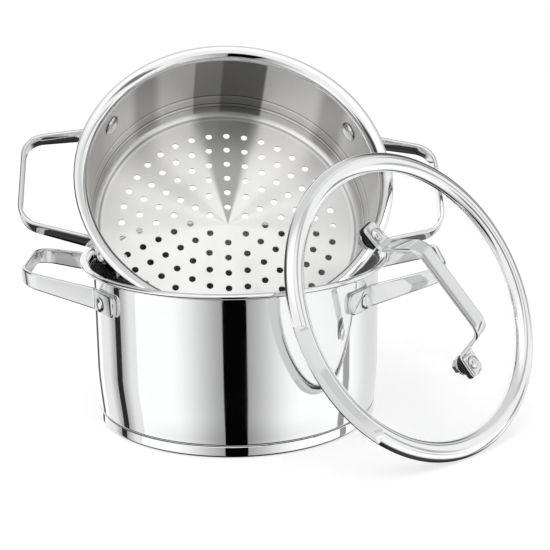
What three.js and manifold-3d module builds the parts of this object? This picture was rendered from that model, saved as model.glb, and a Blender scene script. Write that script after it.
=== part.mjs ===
// A stainless steel steamer pot: a pot with a sandwich base, a perforated steamer insert tipped up
// in its mouth, and a glass lid that stands on the table and leans on them.
// Millimetres and degrees, +Z up, with the origin under the middle of the pot's base.
import * as THREE from "three";
import { mergeGeometries, mergeVertices } from "three/addons/utils/BufferGeometryUtils.js";
import Module from "manifold-3d";

// Sheet, clearances and facets
const SHEET = 0.8; // drawn steel of the pot and the steamer
const CLEARANCE = 0.3; // gap between pieces that touch
const DOME_CLEARANCE = 0.7; // gap between a flat piece and the curved underside of the glass
const SEGMENTS = 44; // facets round a turned piece
const SMALL_SEGMENTS = 10; // facets round a rivet or a screw
const HOLE_SEGMENTS = 8; // facets round a steam hole
const FLARE_STEPS = 3;
const HEM_STEPS = 3;
const CORNER_STEPS = 2;
const PLATE_STEPS = 4; // rounded corners of the gaskets and the notch

// Pot
const POT_RADIUS = 100; // outside of the straight wall
const POT_HEIGHT = 113; // table to the top of the lip
const LIP_REACH = 7; // the lip's edge past the wall
const FLARE_HEIGHT = 6; // straight wall to the top of the lip
const HEM_RADIUS = 1.3; // middle of the rolled edge
const BASE_INSET = 1.8; // the base's edge inside the wall
const TAPER_HEIGHT = 42; // the wall draws in below this height
const GROOVE_HEIGHT = 9.6; // table to the groove above the base cap
const POT_CORNER = 2.5; // outside corner of the drawn body
const CAP_SHEET = 0.7;
const CAP_CORNER = 1.8;

// Strap handles of the pot and the steamer
const STRAP = 3; // thickness
const EDGE_BREAK = 0.5; // broken edges of every strap
const HANDLE_REACH = 45; // wall to the outside of the loop
const POT_HANDLE_DROP = 20; // lip's top to the middle of the strap at the wall
const STEAMER_HANDLE_DROP = 22;
const POT_HANDLE_RISE = 12; // the loop's outer run above the strap at the wall
const STEAMER_HANDLE_RISE = 5;
const TAB_HEIGHT = 15;
const RUN_HEIGHT = 10.5;
const TAB_TIP = 41; // half the angle between the tabs' tips
const TAB_FOLD = 25.5; // half the angle between the folds
const TAB_CHAMFER = 3.5;
const TAB_STEPS = 3;
const LEG_SLANT = 12.5; // the legs close in by this angle
const FOLD_RADIUS = 4;
const LOOP_RADIUS = 16;
const BEND_STEPS = 3;

// Rivets
const RIVET_ANGLE = 31.5; // half the angle between a handle's two rivets
const RIVET_RADIUS = 2.5;
const RIVET_DROP = 1.2; // below the middle of the strap
const HEAD_RADIUS = 5.2;
const HEAD_HEIGHT = 2.4;
const INNER_HEAD_RADIUS = 7.2;
const INNER_HEAD_HEIGHT = 2.6;
const HEAD_STEPS = 2;

// Steamer insert
const NEST_CLEARANCE = 0.7; // between its lower wall and the inside of the pot
const SHOULDER_STEP = 2.2; // upper wall past the lower wall
const STEAMER_OVERLAP = 2; // its lip past the pot's lip
const SHOULDER_DEPTH = 51; // mouth to the shoulder
const SHOULDER_LENGTH = 7.5;
const STEAMER_DEPTH = 71.5; // mouth to the underside of the floor
const STEAMER_CORNER = 8;
const HOLE_RADIUS = 2.45;
const FIRST_HOLE_RING = 15;
const HOLE_RING_STEP = 12.4;
const HOLES_PER_RING_STEP = 6; // each ring has this many more holes than the ring inside it
const HOLE_TURN = 30; // the rows of holes that run straight out from the middle
const HOLE_MARGIN = 3; // flat floor kept outside the last ring

// How the steamer is tipped in the pot's mouth
const STEAMER_TILT = 47.5; // its mouth towards the front
const STEAMER_YAW = 7.9; // its mouth then turned to the right
const STEAMER_SPIN = -4; // about its own axis
const STEAMER_RIGHT = 1.7; // middle of its mouth from the pot's axis
const STEAMER_FORWARD = 8.1;
const REST_GAP = 0.6;

// Lid rim
const LID_INSET = 1.2; // the lid's edge inside the lip's edge
const RIM_WIDTH = 14; // rounded top of the rim
const RIM_HEIGHT = 5; // crest to the outer edge
const RIM_DROP = 3.8; // crest to the inner edge
const RIM_SHEET = 0.8;
const RIM_STEPS = 6; // facets over the top
const LEDGE_STEPS = 2; // facets under the top, over the glass
const EAVE_STEPS = 4; // facets under the top, outside the skirt
const SKIRT_CLEARANCE = 1.6; // between the skirt and the inside of the pot
const SKIRT_SHEET = 0.6;
const GLASS_SEAT = 3; // ledge under the glass
const NOTCH_DEPTH = 8; // pouring notch in from the edge
const NOTCH_FROM = 177;
const NOTCH_TO = 227;
const NOTCH_CORNER = 4;
const NOTCH_LINER = 2; // wall round the notch
const NOTCH_LEDGE = 1; // floor left in the notch

// Lid glass
const GLASS_THICKNESS = 3.2;
const DOME_HEIGHT = 6; // inner edge of the rim to the top
const DOME_STEPS = 4;

// Lid handle and its fastenings
const LID_STRAP = 2.8; // thickness
const LID_STRAP_WIDTH = 13;
const LID_HANDLE_TURN = 114; // direction of the handle across the lid
const LID_HANDLE_RISE = 27; // feet to the run
const LID_RUN_LENGTH = 68; // between the corners of the run before rounding
const SCREW_SPREAD = 53; // lid's axis to each screw
const FOOT_TIP = 8.5; // screw to the end of the foot
const FOOT_HEEL = 9; // screw to the bend
const FOOT_CHAMFER = 3;
const HEEL_RADIUS = 6;
const SHOULDER_RADIUS = 10;
const GASKET = 2.4; // thickness
const GASKET_MARGIN = 0.6; // past the strap's sides and tip
const GASKET_CORNER = 3;
const SCREW_RADIUS = 2;
const SCREW_HEAD_RADIUS = 4.6;
const SCREW_HEAD_HEIGHT = 2.2;
const WASHER_RADIUS = 7;
const WASHER = 1.5; // thickness
const NUT_ACROSS = 5; // middle to a corner
const NUT_HEIGHT = 5;
const SCREW_PAST_NUT = 1;

// How the lid leans
const LID_TURN = -49.3; // direction that its top faces, from +X
const LID_LEAN = 28.9; // its top tips up by this angle
const LID_ALONG = 52; // sideways from the pot's axis
const FLOOR_GAP = 0.3;
const LEAN_GAP = 0.5;

// Sizes that follow from the ones above
const FLAT = Math.cos(Math.PI / SEGMENTS); // a facet's middle lies this share of the radius out
const MOUTH_RADIUS = POT_RADIUS - SHEET;
const LIP_RADIUS = POT_RADIUS + LIP_REACH;
const BASE_RADIUS = POT_RADIUS - BASE_INSET;
const NEST_RADIUS = MOUTH_RADIUS - NEST_CLEARANCE;
const STEAMER_RADIUS = NEST_RADIUS + SHOULDER_STEP;
const STEAMER_LIP = LIP_RADIUS + STEAMER_OVERLAP;
const LID_RADIUS = LIP_RADIUS - LID_INSET;
const RIM_INNER = LID_RADIUS - RIM_WIDTH;
const SKIRT_OUTER = MOUTH_RADIUS - SKIRT_CLEARANCE;
const SKIRT_INNER = SKIRT_OUTER - SKIRT_SHEET;
const GLASS_RADIUS = SKIRT_INNER - CLEARANCE;
const DOME_EDGE = -RIM_DROP - RIM_SHEET - CLEARANCE; // top of the glass at the rim's inner edge
const DOME_RADIUS = (RIM_INNER ** 2 + DOME_HEIGHT ** 2) / (2 * DOME_HEIGHT);
const DOME_CENTRE = DOME_EDGE + DOME_HEIGHT - DOME_RADIUS;
const DOME_INSIDE = DOME_RADIUS - GLASS_THICKNESS;
const SEAT_TOP = DOME_CENTRE + Math.sqrt(DOME_INSIDE ** 2 - GLASS_RADIUS ** 2) - CLEARANCE;
const SEAT_BOTTOM = SEAT_TOP - SKIRT_SHEET;
const FOOT_ANGLE = Math.asin(SCREW_SPREAD / DOME_RADIUS);
const FOOT_BOTTOM = CLEARANCE + GASKET + CLEARANCE; // above the glass
const FOOT_TOP = FOOT_BOTTOM + LID_STRAP;
const WASHER_TOP = -GLASS_THICKNESS - DOME_CLEARANCE;
const NUT_TOP = WASHER_TOP - WASHER - CLEARANCE;
const NUT_BOTTOM = NUT_TOP - NUT_HEIGHT;
const SCREW_END = NUT_BOTTOM - SCREW_PAST_NUT;

const wasm = await Module();
wasm.setup();

const radians = THREE.MathUtils.degToRad;
const at = (x, y) => new THREE.Vector2(x, y);
const toRight = (v) => at(v.y, -v.x);

// Materials
const steel = (roughness) => ({ color: 0xd9dadb, metalness: 1, roughness });
const MIRROR_STEEL = steel(0.1);
const SATIN_STEEL = steel(0.3);
const ALUMINIUM = { color: 0xb9bbbd, metalness: 1, roughness: 0.5 };
const CLEAR_GLASS = { color: 0xf3f7f6, metalness: 0, roughness: 0.05, transparent: true, opacity: 0.25 };
const BLACK_RUBBER = { color: 0x17181a, metalness: 0, roughness: 0.75 };

function piece(name, geometry, finish) {
  const mesh = new THREE.Mesh(geometry, new THREE.MeshStandardMaterial(finish));
  mesh.name = name;
  return mesh;
}

// Solids and cuts
function solid(geometry) {
  const bare = geometry.clone();
  bare.deleteAttribute("normal");
  bare.deleteAttribute("uv");
  const merged = mergeVertices(bare);
  const triVerts = new Uint32Array(merged.index.array);
  return new wasm.Manifold(
    new wasm.Mesh({ numProp: 3, vertProperties: merged.attributes.position.array, triVerts }),
  );
}

function geometryOf(body) {
  const mesh = body.getMesh();
  const geometry = new THREE.BufferGeometry();
  geometry.setAttribute("position", new THREE.BufferAttribute(mesh.vertProperties, 3));
  geometry.setIndex(new THREE.BufferAttribute(mesh.triVerts, 1));
  geometry.computeVertexNormals();
  return geometry;
}

const cut = (geometry, cutters) => geometryOf(solid(geometry).subtract(solid(mergeGeometries(cutters))));

// A closed round bar from one height to another
function bar(radius, from, to, sides = SMALL_SEGMENTS) {
  const geometry = new THREE.CylinderGeometry(radius, radius, to - from, sides);
  return geometry.rotateX(Math.PI / 2).translate(0, 0, (from + to) / 2);
}

// A profile of radius and height turned about Z
const lathe = (profile, sides = SEGMENTS) => new THREE.LatheGeometry(profile, sides).rotateX(Math.PI / 2);

// Points along an arc of an ellipse, with both ends
function arc(centre, radii, from, to, steps) {
  return Array.from({ length: steps + 1 }, (_, i) => {
    const angle = radians(from + ((to - from) * i) / steps);
    return at(centre.x + radii.x * Math.cos(angle), centre.y + radii.y * Math.sin(angle));
  });
}

const round = (radius) => at(radius, radius);

// For each point of a path, the step from it to the right-hand face of a sheet of this half thickness
function mitres(path, half) {
  return path.map((point, i) => {
    const before = point.clone().sub(path[Math.max(i - 1, 0)]);
    const after = path[Math.min(i + 1, path.length - 1)].clone().sub(point);
    const along = i > 0 ? before.normalize() : after.clone().normalize();
    const right = toRight(along.clone().add(i + 1 < path.length ? after.normalize() : along));
    right.normalize();
    return right.multiplyScalar(half / right.dot(toRight(along)));
  });
}

// The outline of a bent sheet: its right-hand face out and its left-hand face back
function sheetOutline(middle, thickness) {
  const steps = mitres(middle, thickness / 2);
  const right = middle.map((point, i) => point.clone().add(steps[i]));
  const left = middle.map((point, i) => point.clone().sub(steps[i]));
  return [...right, ...left.reverse()];
}

// A path through corners, each [point, radius] rounded by its radius
function rounded(corners) {
  return corners.flatMap(([point, radius], i) => {
    if (!radius) return [point];
    const before = point.clone().sub(corners[i - 1][0]).normalize();
    const after = corners[i + 1][0].clone().sub(point).normalize();
    const turn = Math.atan2(before.cross(after), before.dot(after));
    const start = point.clone().addScaledVector(before, -radius * Math.tan(Math.abs(turn) / 2));
    const centre = start.clone().addScaledVector(toRight(before), -radius * Math.sign(turn));
    return Array.from({ length: BEND_STEPS + 1 }, (_, k) =>
      start.clone().rotateAround(centre, (turn * k) / BEND_STEPS),
    );
  });
}

// A strap bent along a path in the XY plane; edges(point, atEnd) gives its edges along Z
function strap(path, thickness, edges) {
  const positions = [];
  const steps = mitres(path, thickness / 2);
  const inset = 1 - EDGE_BREAK / (thickness / 2);
  path.forEach((point, i) => {
    const [low, high] = edges(point, i === 0 || i + 1 === path.length);
    const half = [
      [inset, low],
      [1, low + EDGE_BREAK],
      [1, high - EDGE_BREAK],
      [inset, high],
    ];
    const other = half.map(([side, z]) => [-side, z]).reverse();
    for (const [side, z] of [...half, ...other]) {
      positions.push(point.x + steps[i].x * side, point.y + steps[i].y * side, z);
    }
  });
  const corners = 8;
  const index = [];
  for (let station = 0; station + 1 < path.length; station++) {
    for (let k = 0; k < corners; k++) {
      const a = station * corners + k;
      const b = station * corners + ((k + 1) % corners);
      index.push(a, b + corners, b, a, a + corners, b + corners);
    }
  }
  const last = (path.length - 1) * corners;
  for (let k = 1; k + 1 < corners; k++) {
    index.push(0, k, k + 1, last, last + k + 1, last + k);
  }
  const geometry = new THREE.BufferGeometry();
  geometry.setAttribute("position", new THREE.Float32BufferAttribute(positions, 3));
  geometry.setIndex(index);
  geometry.computeVertexNormals();
  return geometry;
}

// The top of a drawn wall: a flare out to the lip, and the edge rolled under it
const lipCentre = (edge, top) => at(edge - SHEET / 2 - HEM_RADIUS, top - SHEET / 2 - FLARE_HEIGHT);

function lip(wall, edge, top) {
  const centre = lipCentre(edge, top);
  const flare = arc(centre, at(centre.x - wall, FLARE_HEIGHT), 180, 90, FLARE_STEPS);
  const hemCentre = at(centre.x, centre.y + FLARE_HEIGHT - HEM_RADIUS);
  const hem = arc(hemCentre, round(HEM_RADIUS), 90, -90, HEM_STEPS);
  return [...flare, ...hem.slice(1)];
}

// Height of the top of the pot's flare at a distance from the axis
function flareHeight(distance) {
  const centre = lipCentre(LIP_RADIUS, POT_HEIGHT);
  const across = (centre.x - distance) / (centre.x - MOUTH_RADIUS);
  const share = Math.sqrt(Math.max(0, 1 - Math.max(0, across) ** 2));
  return centre.y + (FLARE_HEIGHT + SHEET / 2) * share;
}

// Strap handles, with the fold and the outer corner of each leg worked out from the wall
function handlePath(wallRadius) {
  const middle = wallRadius + CLEARANCE + STRAP / 2;
  const onWall = (degrees) => at(middle * Math.cos(radians(degrees)), middle * Math.sin(radians(degrees)));
  const chamferAngle = THREE.MathUtils.radToDeg(TAB_CHAMFER / middle);
  const tab = [TAB_TIP];
  for (let i = 0; i <= TAB_STEPS; i++) {
    tab.push(THREE.MathUtils.lerp(TAB_TIP - chamferAngle, TAB_FOLD, i / TAB_STEPS));
  }
  const fold = onWall(TAB_FOLD);
  const run = wallRadius + HANDLE_REACH - STRAP / 2;
  const corner = at(run, fold.y - (run - fold.x) * Math.tan(radians(LEG_SLANT)));
  const half = tab.map((degrees, i) => [onWall(degrees), i + 1 < tab.length ? 0 : FOLD_RADIUS]);
  half.push([corner, LOOP_RADIUS]);
  const mirrored = half.map(([point, radius]) => [at(point.x, -point.y), radius]).reverse();
  return { path: rounded([...half, ...mirrored]), fold, run };
}

function handle(wallRadius, height, rise) {
  const { path, fold, run } = handlePath(wallRadius);
  const edges = (point, atEnd) => {
    const out = THREE.MathUtils.clamp((point.x - fold.x) / (run - fold.x), 0, 1);
    const middle = height + rise * out;
    const half = THREE.MathUtils.lerp(TAB_HEIGHT, RUN_HEIGHT, out) / 2 - (atEnd ? TAB_CHAMFER : 0);
    return [middle - half, middle + half];
  };
  return cut(strap(path, STRAP, edges), rivetHoles(wallRadius, height, 0));
}

// Rivets, along +X from the wall, and the holes that they pass through
const rivetHeight = (height) => height - RIVET_DROP;

function rivetHoles(wallRadius, height, turn) {
  return [-RIVET_ANGLE, RIVET_ANGLE].map((angle) => {
    const hole = bar(RIVET_RADIUS + CLEARANCE, wallRadius - 2 * STRAP, wallRadius + 3 * STRAP);
    return hole.rotateY(Math.PI / 2).rotateZ(radians(angle + turn)).translate(0, 0, rivetHeight(height));
  });
}

function rivet(wallRadius) {
  const inside = Math.sqrt((wallRadius - SHEET) ** 2 - INNER_HEAD_RADIUS ** 2) * FLAT - CLEARANCE;
  const outside = wallRadius + CLEARANCE + STRAP + CLEARANCE;
  const innerHead = arc(at(0, inside), at(INNER_HEAD_RADIUS, INNER_HEAD_HEIGHT), -90, 0, HEAD_STEPS);
  const outerHead = arc(at(0, outside), at(HEAD_RADIUS, HEAD_HEIGHT), 0, 90, HEAD_STEPS);
  const shank = [at(RIVET_RADIUS, inside), at(RIVET_RADIUS, outside)];
  const profile = [...innerHead, ...shank, ...outerHead];
  profile[0].x = 0;
  profile[profile.length - 1].x = 0;
  return lathe(profile, SMALL_SEGMENTS).rotateY(Math.PI / 2);
}

// A pair of handles with their rivets
const SIDES = { right: 0, left: 180 };

function addHandles(group, name, wallRadius, height, rise) {
  for (const [side, turn] of Object.entries(SIDES)) {
    const loop = piece(`${name}_handle_${side}`, handle(wallRadius, height, rise), MIRROR_STEEL);
    loop.rotation.z = radians(turn);
    group.add(loop);
    for (const [end, angle] of Object.entries({ front: -RIVET_ANGLE, back: RIVET_ANGLE })) {
      const facing = side === "right" ? angle : -angle;
      const fastener = piece(`${name}_rivet_${side}_${end}`, rivet(wallRadius), MIRROR_STEEL);
      fastener.rotation.z = radians(turn + facing);
      fastener.position.z = rivetHeight(height);
      group.add(fastener);
    }
  }
}

const bothSidesHoles = (wallRadius, height) =>
  Object.values(SIDES).flatMap((turn) => rivetHoles(wallRadius, height, turn));

// Pot
function potBody(handleHeight) {
  const wall = POT_RADIUS - SHEET / 2;
  const foot = BASE_RADIUS - SHEET / 2;
  const corner = POT_CORNER - SHEET / 2;
  const taper = [0.5, 1].map((share) => {
    const drawnIn = (wall - foot) * Math.sin((share * Math.PI) / 2);
    return at(foot + drawnIn, THREE.MathUtils.lerp(GROOVE_HEIGHT, TAPER_HEIGHT, share));
  });
  const floor = GROOVE_HEIGHT - corner;
  const bend = arc(at(foot - corner, GROOVE_HEIGHT), round(corner), -90, 0, CORNER_STEPS);
  const middle = [at(0, floor), ...bend, ...taper, ...lip(wall, LIP_RADIUS, POT_HEIGHT)];
  return cut(lathe(sheetOutline(middle, SHEET)), bothSidesHoles(POT_RADIUS, handleHeight));
}

// The base cap's wall stops just under the rounded corner of the body
function capTop() {
  const across = POT_CORNER - CAP_SHEET;
  return GROOVE_HEIGHT - Math.sqrt(POT_CORNER ** 2 - across ** 2) - CLEARANCE;
}

function baseCap() {
  const top = capTop();
  const centre = at(BASE_RADIUS - CAP_CORNER, CAP_CORNER);
  const outside = arc(centre, round(CAP_CORNER), -90, 0, CORNER_STEPS);
  const inside = arc(centre, round(CAP_CORNER - CAP_SHEET), 0, -90, CORNER_STEPS);
  const edge = [at(BASE_RADIUS, top), at(BASE_RADIUS - CAP_SHEET, top)];
  return lathe([at(0, 0), ...outside, ...edge, ...inside, at(0, CAP_SHEET)]);
}

function baseCore() {
  const radius = BASE_RADIUS - CAP_SHEET - CLEARANCE;
  const bottom = CAP_SHEET + CLEARANCE;
  const top = GROOVE_HEIGHT - POT_CORNER - CLEARANCE;
  const corner = CAP_CORNER - CAP_SHEET - CLEARANCE;
  const bend = arc(at(radius - corner, bottom + corner), round(corner), -90, 0, CORNER_STEPS);
  return lathe([at(0, bottom), ...bend, at(radius, top), at(0, top)]);
}

function makePot() {
  const pot = new THREE.Group();
  const handleHeight = POT_HEIGHT - POT_HANDLE_DROP;
  pot.add(piece("pot_body", potBody(handleHeight), MIRROR_STEEL));
  pot.add(piece("base_core", baseCore(), ALUMINIUM));
  pot.add(piece("base_cap", baseCap(), MIRROR_STEEL));
  addHandles(pot, "pot", POT_RADIUS, handleHeight, POT_HANDLE_RISE);
  return pot;
}

// Steamer insert, with its mouth at Z = 0 and its floor below
function steamerOutline() {
  const lower = NEST_RADIUS - SHEET / 2;
  const upper = STEAMER_RADIUS - SHEET / 2;
  const corner = STEAMER_CORNER - SHEET / 2;
  const floor = -STEAMER_DEPTH + SHEET / 2;
  const bend = arc(at(lower - corner, floor + corner), round(corner), -90, 0, FLARE_STEPS);
  const shoulder = [at(lower, -SHOULDER_DEPTH - SHOULDER_LENGTH), at(upper, -SHOULDER_DEPTH)];
  return sheetOutline([at(0, floor), ...bend, ...shoulder, ...lip(upper, STEAMER_LIP, 0)], SHEET);
}

function steamHoles() {
  const flat = NEST_RADIUS - STEAMER_CORNER - HOLE_RADIUS - HOLE_MARGIN;
  const holes = [];
  let ring = 1;
  for (let radius = FIRST_HOLE_RING; radius < flat; radius += HOLE_RING_STEP) {
    const count = ring * HOLES_PER_RING_STEP;
    for (let i = 0; i < count; i++) {
      const angle = radians(HOLE_TURN + (360 * i) / count);
      const hole = bar(HOLE_RADIUS, -STEAMER_DEPTH - SHEET, -STEAMER_DEPTH + 2 * SHEET, HOLE_SEGMENTS);
      holes.push(hole.translate(radius * Math.cos(angle), radius * Math.sin(angle), 0));
    }
    ring++;
  }
  return holes;
}

function makeSteamer() {
  const steamer = new THREE.Group();
  const handleHeight = -STEAMER_HANDLE_DROP;
  const holes = [...steamHoles(), ...bothSidesHoles(STEAMER_RADIUS, handleHeight)];
  steamer.add(piece("steamer_body", cut(lathe(steamerOutline()), holes), SATIN_STEEL));
  addHandles(steamer, "steamer", STEAMER_RADIUS, handleHeight, STEAMER_HANDLE_RISE);
  return steamer;
}

// Turns a group so that its +Z lies along a direction and its +X is level
function face(group, direction) {
  const vertical = new THREE.Vector3(0, 0, 1);
  const across = new THREE.Vector3().crossVectors(vertical, direction).normalize();
  const up = new THREE.Vector3().crossVectors(direction, across);
  group.quaternion.setFromRotationMatrix(new THREE.Matrix4().makeBasis(across, up, direction));
}

// Tips the steamer and lets it down until it rests on the pot's flare
function tipSteamer(steamer) {
  const tilt = radians(STEAMER_TILT);
  const yaw = radians(STEAMER_YAW);
  const forward = new THREE.Vector3(Math.sin(yaw), -Math.cos(yaw), 0);
  face(steamer, forward.multiplyScalar(Math.sin(tilt)).setZ(Math.cos(tilt)));
  steamer.rotateZ(radians(STEAMER_SPIN));
  steamer.position.set(STEAMER_RIGHT, -STEAMER_FORWARD, 0);
  const heights = edgePoints(steamer, STRAP).map((point) => {
    const distance = Math.hypot(point.x, point.y);
    const overLip = distance > MOUTH_RADIUS * FLAT && distance < LIP_RADIUS + REST_GAP;
    return overLip ? flareHeight(distance) + REST_GAP - point.z : 0;
  });
  steamer.position.z = heights.reduce((most, height) => Math.max(most, height), 0);
}

// Lid rim: half an ellipse over the edge, a skirt and a ledge that holds the glass from below
function rimArc(inset, from, to, steps) {
  const inward = Math.sqrt(1 - (1 - RIM_DROP / RIM_HEIGHT) ** 2);
  const half = RIM_WIDTH / (1 + inward);
  const centre = at(LID_RADIUS - half, -RIM_HEIGHT);
  return arc(centre, at(half - inset, RIM_HEIGHT - inset), from, to, steps);
}

const RIM_END = 180 - THREE.MathUtils.radToDeg(Math.asin(1 - RIM_DROP / RIM_HEIGHT));

// Angle on the underside of the rounded top at which it meets a radius
function undersideAngle(radius) {
  const [outer] = rimArc(RIM_SHEET, 0, 0, 1);
  const [inner] = rimArc(RIM_SHEET, 180, 180, 1);
  const middle = (outer.x + inner.x) / 2;
  return THREE.MathUtils.radToDeg(Math.acos((radius - middle) / (outer.x - middle)));
}

function rimRing() {
  const top = rimArc(0, 0, RIM_END, RIM_STEPS);
  const inside = rimArc(RIM_SHEET, RIM_END, undersideAngle(SKIRT_INNER), LEDGE_STEPS);
  const outside = rimArc(RIM_SHEET, undersideAngle(SKIRT_OUTER), 0, EAVE_STEPS);
  const ledge = [
    at(SKIRT_INNER, SEAT_TOP),
    at(SKIRT_INNER - GLASS_SEAT, SEAT_TOP),
    at(SKIRT_INNER - GLASS_SEAT, SEAT_BOTTOM),
    at(SKIRT_OUTER, SEAT_BOTTOM),
  ];
  return lathe([...top, ...inside, ...ledge, ...outside, top[0].clone()]);
}

// The rounded top filled solid, out to the skirt's inside
function rimFill() {
  const top = rimArc(0, 0, undersideAngle(SKIRT_OUTER), RIM_STEPS);
  const bottom = at(top[top.length - 1].x, -RIM_HEIGHT);
  return lathe([...top, bottom, top[0].clone()]);
}

// A block over part of the rim, from a radius outwards and a height up, with rounded inner corners
function rimBlock(from, to, radius, bottom) {
  const outer = LID_RADIUS + RIM_WIDTH;
  const start = radians(from);
  const end = radians(to);
  const bend = NOTCH_CORNER / radius;
  const onCircle = (r, angle) => [r * Math.cos(angle), r * Math.sin(angle)];
  const shape = new THREE.Shape();
  shape.moveTo(...onCircle(outer, start));
  shape.absarc(0, 0, outer, start, end, false);
  shape.lineTo(...onCircle(radius + NOTCH_CORNER, end));
  shape.quadraticCurveTo(...onCircle(radius, end), ...onCircle(radius, end - bend));
  shape.absarc(0, 0, radius, end - bend, start + bend, true);
  shape.quadraticCurveTo(...onCircle(radius, start), ...onCircle(radius + NOTCH_CORNER, start));
  const depth = 3 * RIM_HEIGHT;
  const block = new THREE.ExtrudeGeometry(shape, { depth, bevelEnabled: false, curveSegments: PLATE_STEPS });
  return block.translate(0, 0, bottom);
}

function lidRim() {
  const liner = THREE.MathUtils.radToDeg(NOTCH_LINER / LID_RADIUS);
  const notchRadius = LID_RADIUS - NOTCH_DEPTH;
  const around = rimBlock(NOTCH_FROM - liner, NOTCH_TO + liner, notchRadius - NOTCH_LINER, -2 * RIM_HEIGHT);
  const notch = rimBlock(NOTCH_FROM, NOTCH_TO, notchRadius, -RIM_HEIGHT + NOTCH_LEDGE);
  const filled = solid(rimFill()).intersect(solid(around));
  return geometryOf(solid(rimRing()).add(filled).subtract(solid(notch)));
}

// Lid glass
function domeArc(radius, from, to, steps) {
  return arc(at(0, DOME_CENTRE), round(radius), from, to, steps);
}

function lidGlass() {
  const edgeAngle = (radius) => THREE.MathUtils.radToDeg(Math.acos(GLASS_RADIUS / radius));
  const under = domeArc(DOME_INSIDE, 90, edgeAngle(DOME_INSIDE), DOME_STEPS);
  const over = domeArc(DOME_RADIUS, edgeAngle(DOME_RADIUS), 90, DOME_STEPS);
  under[0].x = 0;
  over[over.length - 1].x = 0;
  const holes = [0, 180].map((turn) => onFoot(bar(SCREW_RADIUS + CLEARANCE, NUT_BOTTOM, FOOT_TOP), turn));
  return cut(lathe([...under, ...over]), holes);
}

// Moves a geometry from the foot's own place, with the top of the glass at Z = 0, onto the dome
function onFoot(geometry, turn) {
  geometry.translate(0, 0, DOME_RADIUS).rotateY(FOOT_ANGLE).translate(0, 0, DOME_CENTRE);
  return geometry.rotateZ(radians(LID_HANDLE_TURN + turn));
}

// Lid handle, bent in a plane across the lid
function lidHandle() {
  const foot = DOME_RADIUS + FOOT_BOTTOM + LID_STRAP / 2;
  const middle = at(foot * Math.sin(FOOT_ANGLE), DOME_CENTRE + foot * Math.cos(FOOT_ANGLE));
  const outward = at(Math.cos(FOOT_ANGLE), -Math.sin(FOOT_ANGLE));
  const tip = middle.clone().addScaledVector(outward, FOOT_TIP);
  const half = [
    [tip, 0],
    [tip.clone().addScaledVector(outward, -FOOT_CHAMFER), 0],
    [middle.clone().addScaledVector(outward, -FOOT_HEEL), HEEL_RADIUS],
    [at(LID_RUN_LENGTH / 2, middle.y + LID_HANDLE_RISE), SHOULDER_RADIUS],
  ];
  const mirrored = half.map(([point, radius]) => [at(-point.x, point.y), radius]).reverse();
  const edges = (point, atEnd) => {
    const width = LID_STRAP_WIDTH / 2 - (atEnd ? FOOT_CHAMFER : 0);
    return [-width, width];
  };
  const bent = strap(rounded([...half, ...mirrored]), LID_STRAP, edges);
  bent.rotateX(Math.PI / 2).rotateZ(radians(LID_HANDLE_TURN));
  return cut(bent, [0, 180].map((turn) => onFoot(bar(SCREW_RADIUS + CLEARANCE, 0, 2 * FOOT_TOP), turn)));
}

function gasket() {
  const x0 = -FOOT_HEEL + HEEL_RADIUS / 2;
  const x1 = FOOT_TIP + GASKET_MARGIN;
  const y1 = LID_STRAP_WIDTH / 2 + GASKET_MARGIN;
  const c = GASKET_CORNER;
  const shape = new THREE.Shape();
  shape.moveTo(x0, -y1);
  shape.lineTo(x1 - c, -y1);
  shape.quadraticCurveTo(x1, -y1, x1, -y1 + c);
  shape.lineTo(x1, y1 - c);
  shape.quadraticCurveTo(x1, y1, x1 - c, y1);
  shape.lineTo(x0, y1);
  shape.closePath();
  const options = { depth: GASKET, bevelEnabled: false, curveSegments: PLATE_STEPS };
  const pad = new THREE.ExtrudeGeometry(shape, options).translate(0, 0, CLEARANCE);
  return cut(pad, [bar(SCREW_RADIUS + CLEARANCE, 0, FOOT_TOP)]);
}

function screw() {
  const seat = FOOT_TOP + CLEARANCE;
  const head = arc(at(0, seat), at(SCREW_HEAD_RADIUS, SCREW_HEAD_HEIGHT), 0, 90, HEAD_STEPS);
  head[head.length - 1].x = 0;
  const shank = [at(0, SCREW_END), at(SCREW_RADIUS, SCREW_END), at(SCREW_RADIUS, seat)];
  return lathe([...shank, ...head], SMALL_SEGMENTS);
}

function collar(radius, top, height, sides) {
  const hole = bar(SCREW_RADIUS + CLEARANCE, top - 2 * height, top + height);
  return cut(bar(radius, top - height, top, sides), [hole]);
}

function makeLid() {
  const lid = new THREE.Group();
  lid.add(piece("lid_glass", lidGlass(), CLEAR_GLASS));
  lid.add(piece("lid_rim", lidRim(), MIRROR_STEEL));
  lid.add(piece("lid_handle", lidHandle(), MIRROR_STEEL));
  for (const [end, turn] of Object.entries({ upper: 0, lower: 180 })) {
    const hexagon = 6;
    lid.add(piece(`lid_gasket_${end}`, onFoot(gasket(), turn), BLACK_RUBBER));
    lid.add(piece(`lid_screw_${end}`, onFoot(screw(), turn), MIRROR_STEEL));
    const washer = collar(WASHER_RADIUS, WASHER_TOP, WASHER, SMALL_SEGMENTS);
    lid.add(piece(`lid_washer_${end}`, onFoot(washer, turn), SATIN_STEEL));
    const nut = collar(NUT_ACROSS, NUT_TOP, NUT_HEIGHT, hexagon);
    lid.add(piece(`lid_nut_${end}`, onFoot(nut, turn), SATIN_STEEL));
  }
  return lid;
}

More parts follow.
